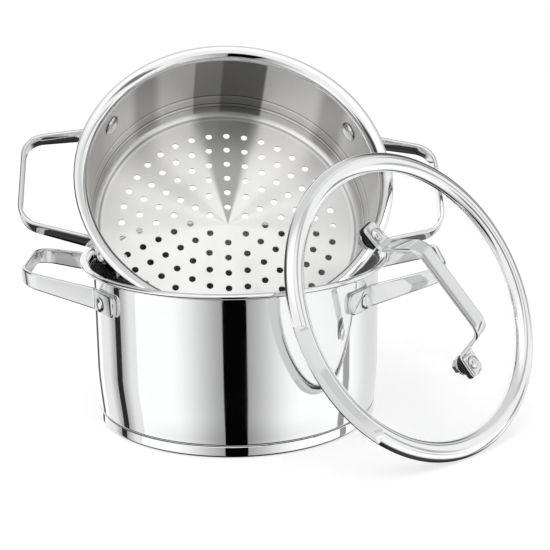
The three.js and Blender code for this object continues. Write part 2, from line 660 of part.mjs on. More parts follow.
// Points along every edge of the meshes in a group
function edgePoints(group, spacing) {
  const points = [];
  group.updateMatrixWorld(true);
  group.traverse((object) => {
    if (!object.isMesh) return;
    const position = object.geometry.getAttribute("position");
    const index = object.geometry.index ? object.geometry.index.array : [...Array(position.count).keys()];
    const place = object.matrixWorld;
    const vertex = (i) => new THREE.Vector3().fromBufferAttribute(position, i).applyMatrix4(place);
    for (let i = 0; i < index.length; i++) {
      const a = vertex(index[i]);
      const b = vertex(index[i % 3 === 2 ? i - 2 : i + 1]);
      const steps = Math.ceil(a.distanceTo(b) / spacing);
      for (let k = 0; k < steps; k++) points.push(a.clone().lerp(b, k / steps));
    }
  });
  return points;
}

// How high the space behind the lid reaches, at a place in the lid's own plane
function backOfLid(x, y) {
  const distance = Math.hypot(x, y);
  if (distance > LID_RADIUS + LEAN_GAP) return Infinity;
  if (distance > SKIRT_OUTER + LEAN_GAP) return -RIM_HEIGHT - LEAN_GAP;
  if (distance > SKIRT_INNER - GLASS_SEAT - LEAN_GAP) return SEAT_BOTTOM - LEAN_GAP;
  const glass = DOME_CENTRE + Math.sqrt(DOME_INSIDE ** 2 - distance ** 2);
  const turn = radians(LID_HANDLE_TURN);
  const along = Math.abs(x * Math.cos(turn) + y * Math.sin(turn));
  const across = x * Math.sin(turn) - y * Math.cos(turn);
  const nearNut = Math.hypot(along - SCREW_SPREAD, across) < 2 * WASHER_RADIUS;
  return glass - LEAN_GAP + (nearNut ? SCREW_END : 0);
}

// Stands the lid on the table and slides it in until it leans on the pot or the steamer
function leanLid(lid, others) {
  const turn = radians(LID_TURN);
  const lean = radians(LID_LEAN);
  const inFront = new THREE.Vector3(Math.cos(turn), Math.sin(turn), 0);
  const top = inFront.clone().multiplyScalar(Math.cos(lean)).setZ(Math.sin(lean));
  face(lid, top);
  const sideways = new THREE.Vector3(-Math.sin(turn), Math.cos(turn), 0);
  lid.position.copy(sideways).multiplyScalar(LID_ALONG);
  lid.position.z = LID_RADIUS * Math.cos(lean) + RIM_HEIGHT * Math.sin(lean) + FLOOR_GAP;
  const turnBack = lid.quaternion.clone().invert();
  const obstacles = others.flatMap((group) => edgePoints(group, STRAP));
  const local = obstacles.map((point) => point.sub(lid.position).applyQuaternion(turnBack));
  const clearAt = (out) =>
    local.every(({ x, y, z }) => z - out * Math.cos(lean) < backOfLid(x, y + out * Math.sin(lean)));
  let far = 3 * LIP_RADIUS;
  let step = LIP_RADIUS / 8;
  while (step > CLEARANCE / 10) {
    while (clearAt(far - step)) far -= step;
    step /= 2;
  }
  lid.position.addScaledVector(inFront, far);
}

const steamerPot = new THREE.Group();
const pot = makePot();
const steamer = makeSteamer();
const lid = makeLid();
tipSteamer(steamer);
leanLid(lid, [pot, steamer]);
steamerPot.add(pot, steamer, lid);

export default steamerPot;
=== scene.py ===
import math

import bmesh
import bpy
from mathutils import Matrix, Vector


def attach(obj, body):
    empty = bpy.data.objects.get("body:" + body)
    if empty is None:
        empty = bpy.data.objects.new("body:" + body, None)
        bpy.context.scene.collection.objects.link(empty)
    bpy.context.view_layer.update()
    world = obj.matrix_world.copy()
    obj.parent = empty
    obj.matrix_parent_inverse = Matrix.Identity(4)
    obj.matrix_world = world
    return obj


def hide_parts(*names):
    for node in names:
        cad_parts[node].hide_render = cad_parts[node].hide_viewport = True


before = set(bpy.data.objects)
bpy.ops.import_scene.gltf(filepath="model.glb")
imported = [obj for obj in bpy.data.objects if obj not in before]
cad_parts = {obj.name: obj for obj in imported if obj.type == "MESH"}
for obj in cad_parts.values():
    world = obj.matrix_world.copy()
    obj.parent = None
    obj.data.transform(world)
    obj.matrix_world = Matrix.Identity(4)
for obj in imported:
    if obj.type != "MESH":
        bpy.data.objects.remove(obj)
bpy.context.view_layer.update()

# Sizes of the solids, in millimetres and degrees
SHEET = 0.8
CLEARANCE = 0.3
POT_RADIUS = 100.0
POT_HEIGHT = 113.0
LIP_REACH = 7.0
FLARE_HEIGHT = 6.0
HEM_RADIUS = 1.3
BASE_INSET = 1.8
TAPER_HEIGHT = 42.0
GROOVE_HEIGHT = 9.6
POT_CORNER = 2.5
CAP_SHEET = 0.7
CAP_CORNER = 1.8

STRAP = 3.0
HANDLE_REACH = 45.0
POT_HANDLE_DROP = 20.0
STEAMER_HANDLE_DROP = 22.0
POT_HANDLE_RISE = 12.0
STEAMER_HANDLE_RISE = 5.0
TAB_HEIGHT = 15.0
RUN_HEIGHT = 10.5
TAB_TIP = 41.0
TAB_FOLD = 25.5
TAB_ROUND = 3.5
LEG_SLANT = 12.5
FOLD_RADIUS = 4.0
LOOP_RADIUS = 16.0

RIVET_ANGLE = 31.5
RIVET_RADIUS = 2.5
RIVET_DROP = 1.2
HEAD_RADIUS = 5.2
HEAD_HEIGHT = 2.4
INNER_HEAD_RADIUS = 7.2
INNER_HEAD_HEIGHT = 2.6

NEST_CLEARANCE = 0.7
SHOULDER_STEP = 2.2
STEAMER_OVERLAP = 2.0
SHOULDER_DEPTH = 51.0
SHOULDER_LENGTH = 7.5
STEAMER_DEPTH = 71.5
STEAMER_CORNER = 8.0
HOLE_RADIUS = 2.45
FIRST_HOLE_RING = 15.0
HOLE_RING_STEP = 12.4
HOLE_RINGS = 6
MORE_HOLES = 6  # than in the ring inside it
HOLE_TURN = 30.0

LID_INSET = 1.2
RIM_WIDTH = 14.0
RIM_HEIGHT = 5.0
RIM_DROP = 3.8
RIM_SHEET = 0.8
SKIRT_CLEARANCE = 1.6
SKIRT_SHEET = 0.6
GLASS_SEAT = 3.0
NOTCH_DEPTH = 8.0
NOTCH_FROM = 177.0
NOTCH_TO = 227.0
NOTCH_CORNER = 4.0
NOTCH_LEDGE = 1.0
GLASS_THICKNESS = 3.2
DOME_HEIGHT = 6.0
DOME_CLEARANCE = 0.7

LID_STRAP = 2.8
LID_STRAP_WIDTH = 13.0
LID_HANDLE_TURN = 114.0
LID_HANDLE_RISE = 27.0
LID_RUN_LENGTH = 68.0
SCREW_SPREAD = 53.0
FOOT_TIP = 8.5
FOOT_HEEL = 9.0
FOOT_ROUND = 3.0
HEEL_RADIUS = 6.0
SHOULDER_RADIUS = 10.0
GASKET = 2.4
GASKET_MARGIN = 0.6
GASKET_CORNER = 3.0
SCREW_RADIUS = 2.0
SCREW_HEAD_RADIUS = 4.6
SCREW_HEAD_HEIGHT = 2.2
SCREW_PAST_NUT = 1.0
WASHER_RADIUS = 7.0
WASHER = 1.5
NUT_ACROSS = 5.0
NUT_HEIGHT = 5.0
NUT_SIDES = 6

# Where the steamer and the lid stand
STEAMER_TILT = 47.5
STEAMER_YAW = 7.9
STEAMER_SPIN = -4.0
STEAMER_CENTRE = (1.7, -8.1, 170.551)
LID_TURN = -49.3
LID_LEAN = 28.9
LID_CENTRE = (123.916, -64.323, 95.341)

# Bends and edges that the scene adds or draws finer, in millimetres and degrees
STRAP_EDGE = 1.35
SHOULDER_BEND = 5.0
SHOULDER_STRAIGHT = 4.0
NOTCH_CLOSE = 0.05
NOTCH_FINE = 0.3
NOTCH_STATIONS = 9
GASKET_SOFT = 0.5
SOFT_EDGE = 0.25

# Facets and tolerances
TURN_STEPS = 192
BEND_STEPS = 12
EDGE_STEPS = 4
SMALL_STEPS = 32
HOLE_SIDES = 28
END_MARGIN = 1.05
MILLIMETRE = 0.001
NUDGE = 0.02  # keeps two points of an outline apart
POLE = 1e-6  # a smaller radius is on the axis
RING_SHIFT = -0.4999  # minus a half, and a little more against rounding
WELD = 0.01
WELD_METRES = 2e-6

# Sizes that follow
MOUTH_RADIUS = POT_RADIUS - SHEET
LIP_RADIUS = POT_RADIUS + LIP_REACH
BASE_RADIUS = POT_RADIUS - BASE_INSET
NEST_RADIUS = MOUTH_RADIUS - NEST_CLEARANCE
STEAMER_RADIUS = NEST_RADIUS + SHOULDER_STEP
STEAMER_LIP = LIP_RADIUS + STEAMER_OVERLAP
LID_RADIUS = LIP_RADIUS - LID_INSET
RIM_INNER = LID_RADIUS - RIM_WIDTH
SKIRT_OUTER = MOUTH_RADIUS - SKIRT_CLEARANCE
SKIRT_INNER = SKIRT_OUTER - SKIRT_SHEET
GLASS_RADIUS = SKIRT_INNER - CLEARANCE
DOME_EDGE = -RIM_DROP - RIM_SHEET - CLEARANCE
DOME_RADIUS = (RIM_INNER**2 + DOME_HEIGHT**2) / (2 * DOME_HEIGHT)
DOME_CENTRE = DOME_EDGE + DOME_HEIGHT - DOME_RADIUS
DOME_INSIDE = DOME_RADIUS - GLASS_THICKNESS
SEAT_TOP = DOME_CENTRE + math.sqrt(DOME_INSIDE**2 - GLASS_RADIUS**2) - CLEARANCE
SEAT_BOTTOM = SEAT_TOP - SKIRT_SHEET
FOOT_ANGLE = math.asin(SCREW_SPREAD / DOME_RADIUS)
FOOT_BOTTOM = CLEARANCE + GASKET + CLEARANCE
FOOT_TOP = FOOT_BOTTOM + LID_STRAP
WASHER_TOP = -GLASS_THICKNESS - DOME_CLEARANCE
NUT_TOP = WASHER_TOP - WASHER - CLEARANCE
NUT_BOTTOM = NUT_TOP - NUT_HEIGHT


def facing(centre, direction):
    """A place with +Z along a direction and +X level, from millimetres to metres."""
    axis = Vector(direction).normalized()
    across = Vector((0, 0, 1)).cross(axis).normalized()
    up = axis.cross(across)
    turn = Matrix((across, up, axis)).transposed().to_4x4()
    return Matrix.Scale(MILLIMETRE, 4) @ Matrix.Translation(centre) @ turn


def about_z(degrees):
    return Matrix.Rotation(math.radians(degrees), 4, "Z")


def sloping(turn, lean):
    """The direction at a turn about the vertical and a lean above the level."""
    a, b = math.radians(turn), math.radians(lean)
    return (math.cos(a) * math.cos(b), math.sin(a) * math.cos(b), math.sin(b))


STEAMER_AXIS = sloping(STEAMER_YAW - 90, 90 - STEAMER_TILT)
LID_AXIS = sloping(LID_TURN, LID_LEAN)
POT_PLACE = Matrix.Scale(MILLIMETRE, 4)
STEAMER_PLACE = facing(STEAMER_CENTRE, STEAMER_AXIS) @ about_z(STEAMER_SPIN)
LID_PLACE = facing(LID_CENTRE, LID_AXIS)


# Node trees
NUMBER, COUNT, VECTOR = "NodeSocketFloat", "NodeSocketInt", "NodeSocketVector"


def feed(tree, made, inputs):
    """Sets the inputs of a node: values, or sockets to link."""
    for key, value in inputs.items():
        if isinstance(value, bpy.types.NodeSocket):
            tree.links.new(value, made.inputs[key])
        else:
            made.inputs[key].default_value = value


def node(tree, kind, inputs=None, **settings):
    """Adds a node, with its settings first and then its inputs."""
    made = tree.nodes.new(kind)
    for key, value in settings.items():
        setattr(made, key, value)
    feed(tree, made, inputs or {})
    return made


def maths(tree, operation, a, b=0.0, c=0.0):
    return node(tree, "ShaderNodeMath", {0: a, 1: b, 2: c}, operation=operation).outputs[0]


def vectors(tree, operation, a, b=(0, 0, 0), output=0):
    return node(tree, "ShaderNodeVectorMath", {0: a, 1: b}, operation=operation).outputs[output]


def spread(tree, value, low, high, to_low, to_high, kind="LINEAR"):
    """A value moved from one range into another."""
    inputs = {"Value": value, "From Min": low, "From Max": high, "To Min": to_low, "To Max": to_high}
    return node(tree, "ShaderNodeMapRange", inputs, interpolation_type=kind).outputs["Result"]


def scaled(tree, vector, factor):
    return node(tree, "ShaderNodeVectorMath", {0: vector, 3: factor}, operation="SCALE").outputs[0]


def blended(tree, share, a, b):
    return node(tree, "ShaderNodeMix", {"Factor": share, "A": a, "B": b}).outputs["Result"]


def banded(tree, angle, bands):
    """A level of 1 with bands at angles in degrees: direction, half width, soft edge and level."""
    level = 1.0
    for direction, half, soft, left in bands:
        off = maths(tree, "WRAP", maths(tree, "SUBTRACT", angle, math.radians(direction)), math.pi, -math.pi)
        start, end = math.radians(half), math.radians(half + soft)
        band = spread(tree, maths(tree, "ABSOLUTE", off), start, end, left, 1.0, "SMOOTHSTEP")
        level = maths(tree, "MULTIPLY", level, band)
    return level


def new_group(name, kind, inputs, output):
    group = bpy.data.node_groups.new(name, kind)
    for label, socket, *value in inputs:
        made = group.interface.new_socket(label, in_out="INPUT", socket_type=socket)
        if value:
            made.default_value = value[0]
    group.interface.new_socket(output[0], in_out="OUTPUT", socket_type=output[1])
    return group, group.nodes.new("NodeGroupInput").outputs, group.nodes.new("NodeGroupOutput")


# Shared effects of the finishes
SMEAR_LOW = 0.25
SMEAR_HIGH = 0.85


def polishing_lines():
    """Fine lines left by a wheel that turned about an axis: a value from 0 to 1."""
    group, given, out = new_group(
        "polishing lines",
        "ShaderNodeTree",
        [
            ("Centre", VECTOR),
            ("Axis", VECTOR),
            ("Lines", NUMBER),
            ("Length", NUMBER, 6.0),
        ],
        ("Value", NUMBER),
    )
    place = node(group, "ShaderNodeTexCoord").outputs["Object"]
    arm = vectors(group, "SUBTRACT", place, given["Centre"])
    along = vectors(group, "DOT_PRODUCT", arm, given["Axis"], output=1)
    flat = vectors(group, "CROSS_PRODUCT", arm, given["Axis"])
    radius = vectors(group, "LENGTH", flat, output=1)
    direction = vectors(group, "NORMALIZE", flat)
    stretched = scaled(group, direction, given["Length"])
    across = maths(group, "MULTIPLY", maths(group, "ADD", radius, along), given["Lines"])
    noise = node(
        group,
        "ShaderNodeTexNoise",
        {"Vector": stretched, "W": across, "Scale": 1.0, "Detail": 3.0, "Roughness": 0.6},
        noise_dimensions="4D",
    )
    group.links.new(noise.outputs["Fac"], out.inputs["Value"])
    return group


def handling_marks():
    """Soft smears where hands and cloths have been: a value from 0 to 1."""
    group, given, out = new_group(
        "handling marks",
        "ShaderNodeTree",
        [("Size", NUMBER), ("Sharpness", NUMBER, 0.2)],
        ("Value", NUMBER),
    )
    place = node(group, "ShaderNodeTexCoord").outputs["Object"]
    smear = node(
        group,
        "ShaderNodeTexNoise",
        {"Vector": place, "Scale": given["Size"], "Detail": 4.0, "Roughness": 0.55, "Distortion": 0.6},
    ).outputs["Fac"]
    low = maths(group, "ADD", given["Sharpness"], SMEAR_LOW)
    high = maths(group, "SUBTRACT", SMEAR_HIGH, given["Sharpness"])
    group.links.new(spread(group, smear, low, high, 0.0, 1.0), out.inputs["Value"])
    return group


LINES = polishing_lines()
MARKS = handling_marks()


def bare_tree(block):
    """The emptied node tree of a material or a world."""
    block.use_nodes = True
    block.node_tree.nodes.clear()
    return block.node_tree


def new_finish(name):
    finish = bpy.data.materials.new(name)
    tree = bare_tree(finish)
    shader = tree.nodes.new("ShaderNodeBsdfPrincipled")
    node(tree, "ShaderNodeOutputMaterial", {"Surface": shader.outputs[0]})
    return finish, tree, shader


def placed_group(tree, group, **inputs):
    return node(tree, "ShaderNodeGroup", inputs, node_tree=group).outputs["Value"]


def tinted(tree, value, dark, light):
    inputs = {"Factor": value, "A": (*dark, 1), "B": (*light, 1)}
    return node(tree, "ShaderNodeMix", inputs, data_type="RGBA").outputs["Result"]


def bumped(tree, height, strength, distance):
    inputs = {"Height": height, "Strength": strength, "Distance": distance}
    return node(tree, "ShaderNodeBump", inputs).outputs[0]


MARK_SIZE = 14.0
MARK_SHARE = 0.5  # of the marks in the roughness; the rest is brushing
MARK_RANGE = (0.2, 0.8)
BRUSH_DEPTH = 0.0002
INSIDE_LINES = 1600.0
INSIDE_GRAIN = 0.06
INSIDE_STRETCH = 0.8  # of the highlights across the brushing


def steel(name, place, tones, roughness, lines, grain):
    """Steel polished about a place's Z, between two tones and between two ends of roughness."""
    finish, tree, shader = new_finish(name)
    axis = place.col[2].xyz.normalized()
    brushed = placed_group(tree, LINES, Centre=place.translation, Axis=axis, Lines=lines)
    marks = placed_group(tree, MARKS, Size=MARK_SIZE)
    marked = maths(tree, "MULTIPLY", marks, MARK_SHARE)
    both = maths(tree, "MULTIPLY_ADD", brushed, 1.0 - MARK_SHARE, marked)
    inputs = {
        "Metallic": 1.0,
        "Base Color": tinted(tree, brushed, *tones),
        "Roughness": spread(tree, both, *MARK_RANGE, *roughness),
        "Normal": bumped(tree, brushed, grain, BRUSH_DEPTH),
    }
    feed(tree, shader, inputs)
    return finish


def ringed(tree, height, rings):
    """A level of 1 with rings at heights in millimetres: height, half width, soft edge and level."""
    level = 1.0
    for middle, half, soft, left in rings:
        off = maths(tree, "ABSOLUTE", maths(tree, "SUBTRACT", height, middle * MILLIMETRE))
        start, end = half * MILLIMETRE, (half + soft) * MILLIMETRE
        ring = spread(tree, off, start, end, left, 1.0, "SMOOTHSTEP")
        level = maths(tree, "MULTIPLY", level, ring)
    return level


def brushed_inside(name, place, painted_fans, rings, tones, roughness, along_axis):
    """Steel brushed in rings about a place's Z, with painted reflection fans by direction and painted
    highlight and shade lines at the bends, multiplied into its colour.
    """
    finish = steel(name, place, tones, roughness, INSIDE_LINES, INSIDE_GRAIN)
    axis = place.col[2].xyz.normalized()
    tree = finish.node_tree
    shader = next(n for n in tree.nodes if n.type == "BSDF_PRINCIPLED")
    seen = node(tree, "ShaderNodeTexCoord").outputs["Object"]
    arm = vectors(tree, "SUBTRACT", seen, place.translation)
    across = vectors(tree, "DOT_PRODUCT", arm, place.col[0].xyz.normalized(), output=1)
    up = vectors(tree, "DOT_PRODUCT", arm, place.col[1].xyz.normalized(), output=1)
    height = vectors(tree, "DOT_PRODUCT", arm, axis, output=1)
    # Painted reflection and painted shade: fans by direction and bright and dark lines at the bends darken
    # and brighten the base colour
    painted_fan = banded(tree, maths(tree, "ARCTAN2", up, across), painted_fans)
    level = maths(tree, "MULTIPLY", painted_fan, ringed(tree, height, rings))
    colour = shader.inputs["Base Color"].links[0].from_socket
    inputs = {"Factor": 1.0, "A": colour, "B": level}
    painted_light_colour = node(tree, "ShaderNodeMix", inputs, data_type="RGBA", blend_type="MULTIPLY")
    tangent = scaled(tree, axis, 1.0 if along_axis else height)
    if not along_axis:
        tangent = vectors(tree, "NORMALIZE", vectors(tree, "SUBTRACT", arm, tangent))
    inputs = {"Anisotropic": INSIDE_STRETCH, "Base Color": painted_light_colour.outputs["Result"], "Tangent": tangent}
    feed(tree, shader, inputs)
    return finish


def clear_glass():
    finish, tree, shader = new_finish("clear_glass")
    marks = placed_group(tree, MARKS, Size=9.0)
    inputs = {
        "Transmission Weight": 1.0,
        "IOR": 1.46,
        "Base Color": tinted(tree, marks, (0.985, 0.99, 0.988), (1.0, 1.0, 1.0)),
        "Roughness": spread(tree, marks, 0.0, 1.0, 0.0, 0.012),
    }
    feed(tree, shader, inputs)
    clear = node(tree, "ShaderNodeBsdfTransparent", {"Color": (0.93, 0.94, 0.94, 1)})
    shadow = tree.nodes.new("ShaderNodeLightPath").outputs["Is Shadow Ray"]
    mixed = node(tree, "ShaderNodeMixShader", {0: shadow, 1: shader.outputs[0], 2: clear.outputs[0]})
    out = next(n for n in tree.nodes if n.type == "OUTPUT_MATERIAL")
    tree.links.new(mixed.outputs[0], out.inputs["Surface"])
    return finish


def black_rubber():
    finish, tree, shader = new_finish("black_rubber")
    place = node(tree, "ShaderNodeTexCoord").outputs["Object"]
    grain = node(tree, "ShaderNodeTexNoise", {"Vector": place, "Scale": 2600.0, "Detail": 2.0}).outputs["Fac"]
    marks = placed_group(tree, MARKS, Size=60.0)
    inputs = {
        "Base Color": tinted(tree, marks, (0.011, 0.011, 0.012), (0.022, 0.022, 0.024)),
        "Roughness": spread(tree, grain, 0.3, 0.7, 0.5, 0.7),
        "Normal": bumped(tree, grain, 0.25, 0.0001),
    }
    feed(tree, shader, inputs)
    return finish


BRIGHT = ((0.84, 0.843, 0.847), (0.88, 0.882, 0.885))
SATIN = ((0.6, 0.6, 0.6), (0.75, 0.75, 0.74))
STRAP_TONES = ((0.7, 0.703, 0.707), (0.76, 0.762, 0.765))
FASTENER_TONES = ((0.6, 0.6, 0.6), (0.72, 0.72, 0.72))
CORE_TONES = ((0.62, 0.63, 0.64), (0.74, 0.75, 0.76))
WALL_TONES = ((0.74, 0.732, 0.718), (0.82, 0.812, 0.798))
# The steamer floor's tones are a lighter copy of the wall's steel: painted light where the floor reflects the
# bright ceiling
FLOOR_PAINTED_LIGHT_TONES = ((0.88, 0.876, 0.868), (0.95, 0.946, 0.938))
MIRROR = (0.03, 0.07)
POT_STEEL = steel("pot_mirror_steel", POT_PLACE, BRIGHT, MIRROR, 1200.0, 0.003)
POT_INSIDE = steel("pot_inside_satin", POT_PLACE, SATIN, (0.2, 0.34), 1500.0, 0.06)
STEAMER_STEEL = steel("steamer_mirror_steel", STEAMER_PLACE, BRIGHT, MIRROR, 1200.0, 0.01)
# Painted reflection fans by direction and painted highlight and shade rings by height, each with a half
# width, a soft edge and a level
WALL_PAINTED_FANS = (
    (90.0, 14.5, 1.0, 0.5),
    (84.0, 8.5, 1.5, 0.55),
    (128.0, 3.0, 6.0, 0.6),
    (42.0, 4.0, 6.0, 0.6),
    (165.0, 6.0, 16.0, 0.75),
    (15.0, 6.0, 16.0, 0.75),
)
FLOOR_PAINTED_FANS = (
    (90.0, 10.0, 9.0, 0.5),
    (142.0, 3.0, 14.0, 0.88),
    (175.0, 4.0, 14.0, 0.92),
    (38.0, 3.0, 14.0, 0.88),
    (5.0, 4.0, 14.0, 0.92),
)
# Painted highlight and shade lines at the shoulder bends: levels below 1 are painted dark lines, above 1
# painted bright lines
WALL_PAINTED_BEND_LINES = (
    (-SHOULDER_DEPTH + 1.2, 0.3, 0.3, 0.35),
    (-SHOULDER_DEPTH - 0.6, 0.5, 0.4, 1.25),
    (-SHOULDER_DEPTH - SHOULDER_LENGTH + 1.0, 0.3, 0.3, 0.35),
    (-SHOULDER_DEPTH - SHOULDER_LENGTH - 0.9, 0.7, 0.4, 1.25),
    (-SHOULDER_DEPTH - SHOULDER_LENGTH - 2.6, 0.3, 0.3, 0.4),
)
# Painted highlight and shade lines at the floor's corner bend
FLOOR_PAINTED_BEND_LINES = (
    (-STEAMER_DEPTH + SHEET + 1.8, 0.5, 0.5, 1.1),
    (-STEAMER_DEPTH + SHEET + 0.6, 0.2, 0.3, 0.5),
)
STEAMER_INSIDE = brushed_inside(
    "steamer_wall_satin", STEAMER_PLACE, WALL_PAINTED_FANS, WALL_PAINTED_BEND_LINES, WALL_TONES, (0.34, 0.46), True
)
STEAMER_FLOOR = brushed_inside(
    "steamer_floor_satin", STEAMER_PLACE, FLOOR_PAINTED_FANS, FLOOR_PAINTED_BEND_LINES, FLOOR_PAINTED_LIGHT_TONES, (0.3, 0.42), False
)
LID_STEEL = steel("lid_mirror_steel", LID_PLACE, BRIGHT, MIRROR, 1200.0, 0.01)
STRAP_STEEL = steel("strap_polished_steel", POT_PLACE, STRAP_TONES, (0.05, 0.1), 700.0, 0.015)
FASTENER_STEEL = steel("fastener_satin_steel", LID_PLACE, FASTENER_TONES, (0.2, 0.32), 2200.0, 0.05)
CORE_METAL = steel("core_aluminium", POT_PLACE, CORE_TONES, (0.4, 0.55), 1500.0, 0.1)
GLASS = clear_glass()
RUBBER = black_rubber()


# Meshes
def placed(name, data):
    made = bpy.data.objects.new(name, data)
    bpy.context.scene.collection.objects.link(made)
    return made


def piece_of(name, mesh, finishes, sharp=38):
    """A finished object from a mesh in metres, faces outwards and smooth but for its sharp edges."""
    shape = bmesh.new()
    shape.from_mesh(mesh)
    bmesh.ops.remove_doubles(shape, verts=shape.verts, dist=WELD_METRES)
    bmesh.ops.recalc_face_normals(shape, faces=shape.faces)
    shape.to_mesh(mesh)
    shape.free()
    mesh.shade_smooth()
    mesh.set_sharp_from_angle(angle=math.radians(sharp))
    chosen = [min(face.material_index, len(finishes) - 1) for face in mesh.polygons]
    mesh.materials.clear()
    for finish in finishes:
        mesh.materials.append(finish)
    mesh.polygons.foreach_set("material_index", chosen)
    return placed(name, mesh)


def mesh_of(name, points, faces, place, bands=None):
    mesh = bpy.data.meshes.new(name)
    mesh.from_pydata([place @ Vector(point) for point in points], [], faces)
    if bands:
        mesh.polygons.foreach_set("material_index", bands)
    return mesh


def arc(centre, radii, start, end, steps):
    angles = [math.radians(start + (end - start) * i / steps) for i in range(steps + 1)]
    return [(centre[0] + radii[0] * math.cos(a), centre[1] + radii[1] * math.sin(a)) for a in angles]


def sleeve(rings, count):
    """The faces of a tube of rings with a count of points each, closed at both ends."""
    faces = []
    for ring in range(rings - 1):
        for k in range(count):
            a, b = ring * count + k, ring * count + (k + 1) % count
            faces.append((a, b, b + count, a + count))
    last = (rings - 1) * count
    return faces + [tuple(range(count))[::-1], tuple(range(last, last + count))]


def mitres(path):
    """For each point of a path, the step to its right for a half thickness of 1."""
    steps = []
    for i, point in enumerate(path):
        before = Vector(point) - Vector(path[max(i - 1, 0)])
        after = Vector(path[min(i + 1, len(path) - 1)]) - Vector(point)
        along = (before if i else after).normalized()
        ahead = (after if i + 1 < len(path) else before).normalized()
        right = Vector((along.y + ahead.y, -along.x - ahead.x)).normalized()
        steps.append(right / right.dot(Vector((along.y, -along.x))))
    return steps


def sheet_outline(middle, thickness):
    half = thickness / 2
    steps = mitres(middle)
    right = [(p[0] + s.x * half, p[1] + s.y * half) for p, s in zip(middle, steps)]
    left = [(p[0] - s.x * half, p[1] - s.y * half) for p, s in zip(middle, steps)]
    return right + left[::-1]


def supported(profile, edge=0.7, spacing=9.0):
    """A profile with more points along its long straights, so that bends stay where they are."""
    dense = [profile[0]]
    for a, b in zip(profile, profile[1:]):
        a, b = Vector(a), Vector(b)
        length = (b - a).length
        if length > 4 * edge:
            count = max(1, round((length - 2 * edge) / spacing))
            for i in range(count + 1):
                along = edge + (length - 2 * edge) * i / count
                dense.append(tuple(a.lerp(b, along / length)))
        dense.append(tuple(b))
    return dense


def turned_mesh(name, profile, place, closed=False, finish_of=None, steps=TURN_STEPS):
    """A profile of radius and height turned about the place's Z; points on the axis become poles."""
    points, rings, faces, bands = [], [], [], []
    for radius, height in profile:
        if radius < POLE:
            rings.append([len(points)] * steps)
            points.append((0, 0, height))
        else:
            rings.append(list(range(len(points), len(points) + steps)))
            for i in range(steps):
                angle = 2 * math.pi * i / steps
                points.append((radius * math.cos(angle), radius * math.sin(angle), height))
    pairs = list(zip(rings, rings[1:])) + ([(rings[-1], rings[0])] if closed else [])
    for band, (low, high) in enumerate(pairs):
        for i in range(steps):
            j = (i + 1) % steps
            corners = [low[i], low[j], high[j], high[i]]
            faces.append(list(dict.fromkeys(corners)))
            bands.append(finish_of(band, profile) if finish_of else 0)
    return mesh_of(name, points, faces, place, bands)


def rounded(corners):
    """A path through corners, each (point, radius) rounded by its radius."""
    path = []
    for i, (point, radius) in enumerate(corners):
        point = Vector(point)
        if not radius:
            path.append(tuple(point))
            continue
        before = (point - Vector(corners[i - 1][0])).normalized()
        after = (Vector(corners[i + 1][0]) - point).normalized()
        turn = math.atan2(before.x * after.y - before.y * after.x, before.dot(after))
        start = point - before * radius * math.tan(abs(turn) / 2)
        centre = start - Vector((before.y, -before.x)) * radius * math.copysign(1, turn)
        arm = start - centre
        for k in range(BEND_STEPS + 1):
            path.append(tuple(centre + Matrix.Rotation(turn * k / BEND_STEPS, 2) @ arm))
    return path


def rounded_end(path, length):
    """A path with more points near both ends, and for each point how far it is from its end, 0 to 1."""
    points = [Vector(point) for point in path]
    gone = [0.0]
    for a, b in zip(points, points[1:]):
        gone.append(gone[-1] + (b - a).length)
    total = gone[-1]

    def along(distance):
        i = max(k for k in range(len(gone) - 1) if gone[k] <= distance)
        return tuple(points[i].lerp(points[i + 1], (distance - gone[i]) / (gone[i + 1] - gone[i])))

    shares = [1 - math.cos(math.pi / 2 * k / EDGE_STEPS) for k in range(EDGE_STEPS + 1)]
    head = [(along(length * share), share) for share in shares]
    tail = [(along(total - length * share), share) for share in shares[::-1]]
    margin = length * END_MARGIN
    middle = [(tuple(p), 1.0) for p, d in zip(points, gone) if margin < d < total - margin]
    return head + middle + tail


def strap_mesh(name, path, thickness, end_round, edges, place):
    """A strap bent along a path in the XY plane; edges(point) gives its middle and half width along Z."""
    stations = rounded_end(path, end_round)
    steps = mitres([point for point, _ in stations])
    points, section = [], []
    for corner, (side, up) in enumerate(((1, -1), (1, 1), (-1, 1), (-1, -1))):
        start = (-90, 0, 90, 180)[corner]
        for x, z in arc((0, 0), (1, 1), start, start + 90, EDGE_STEPS):
            section.append((side, up, x, z))
    for (point, share), step in zip(stations, steps):
        middle, half = edges(point)
        tuck = 1 - math.sqrt(max(0.0, 1 - (1 - share) ** 2))
        half -= end_round * tuck
        flat = thickness / 2 - STRAP_EDGE
        for side, up, x, z in section:
            off = side * flat + x * STRAP_EDGE
            height = middle + up * (half - STRAP_EDGE) + z * STRAP_EDGE
            points.append((point[0] + step.x * off, point[1] + step.y * off, height))
    return mesh_of(name, points, sleeve(len(stations), len(section)), place)


# Geometry node trees for what repeats
def run_tree(name, group, values):
    """Runs a geometry tree with its inputs set by name and returns the plain mesh that it makes."""
    carrier = placed(name, bpy.data.meshes.new(name))
    modifier = carrier.modifiers.new(name, "NODES")
    modifier.node_group = group
    for item in group.interface.items_tree:
        if item.in_out == "INPUT" and item.name in values:
            modifier[item.identifier] = values[item.name]
    carrier.update_tag()
    graph = bpy.context.evaluated_depsgraph_get()
    mesh = bpy.data.meshes.new_from_object(carrier.evaluated_get(graph))
    carrier.modifiers.remove(modifier)
    bpy.data.objects.remove(carrier)
    return mesh


def dressed(group, shape, given, out):
    """Makes a tree's copies real, gives them their finish and hands them out."""
    whole = node(group, "GeometryNodeRealizeInstances", {0: shape}).outputs[0]
    done = node(group, "GeometryNodeSetMaterial", {"Geometry": whole, "Material": given["Finish"]})
    group.links.new(done.outputs[0], out.inputs[0])
    return group


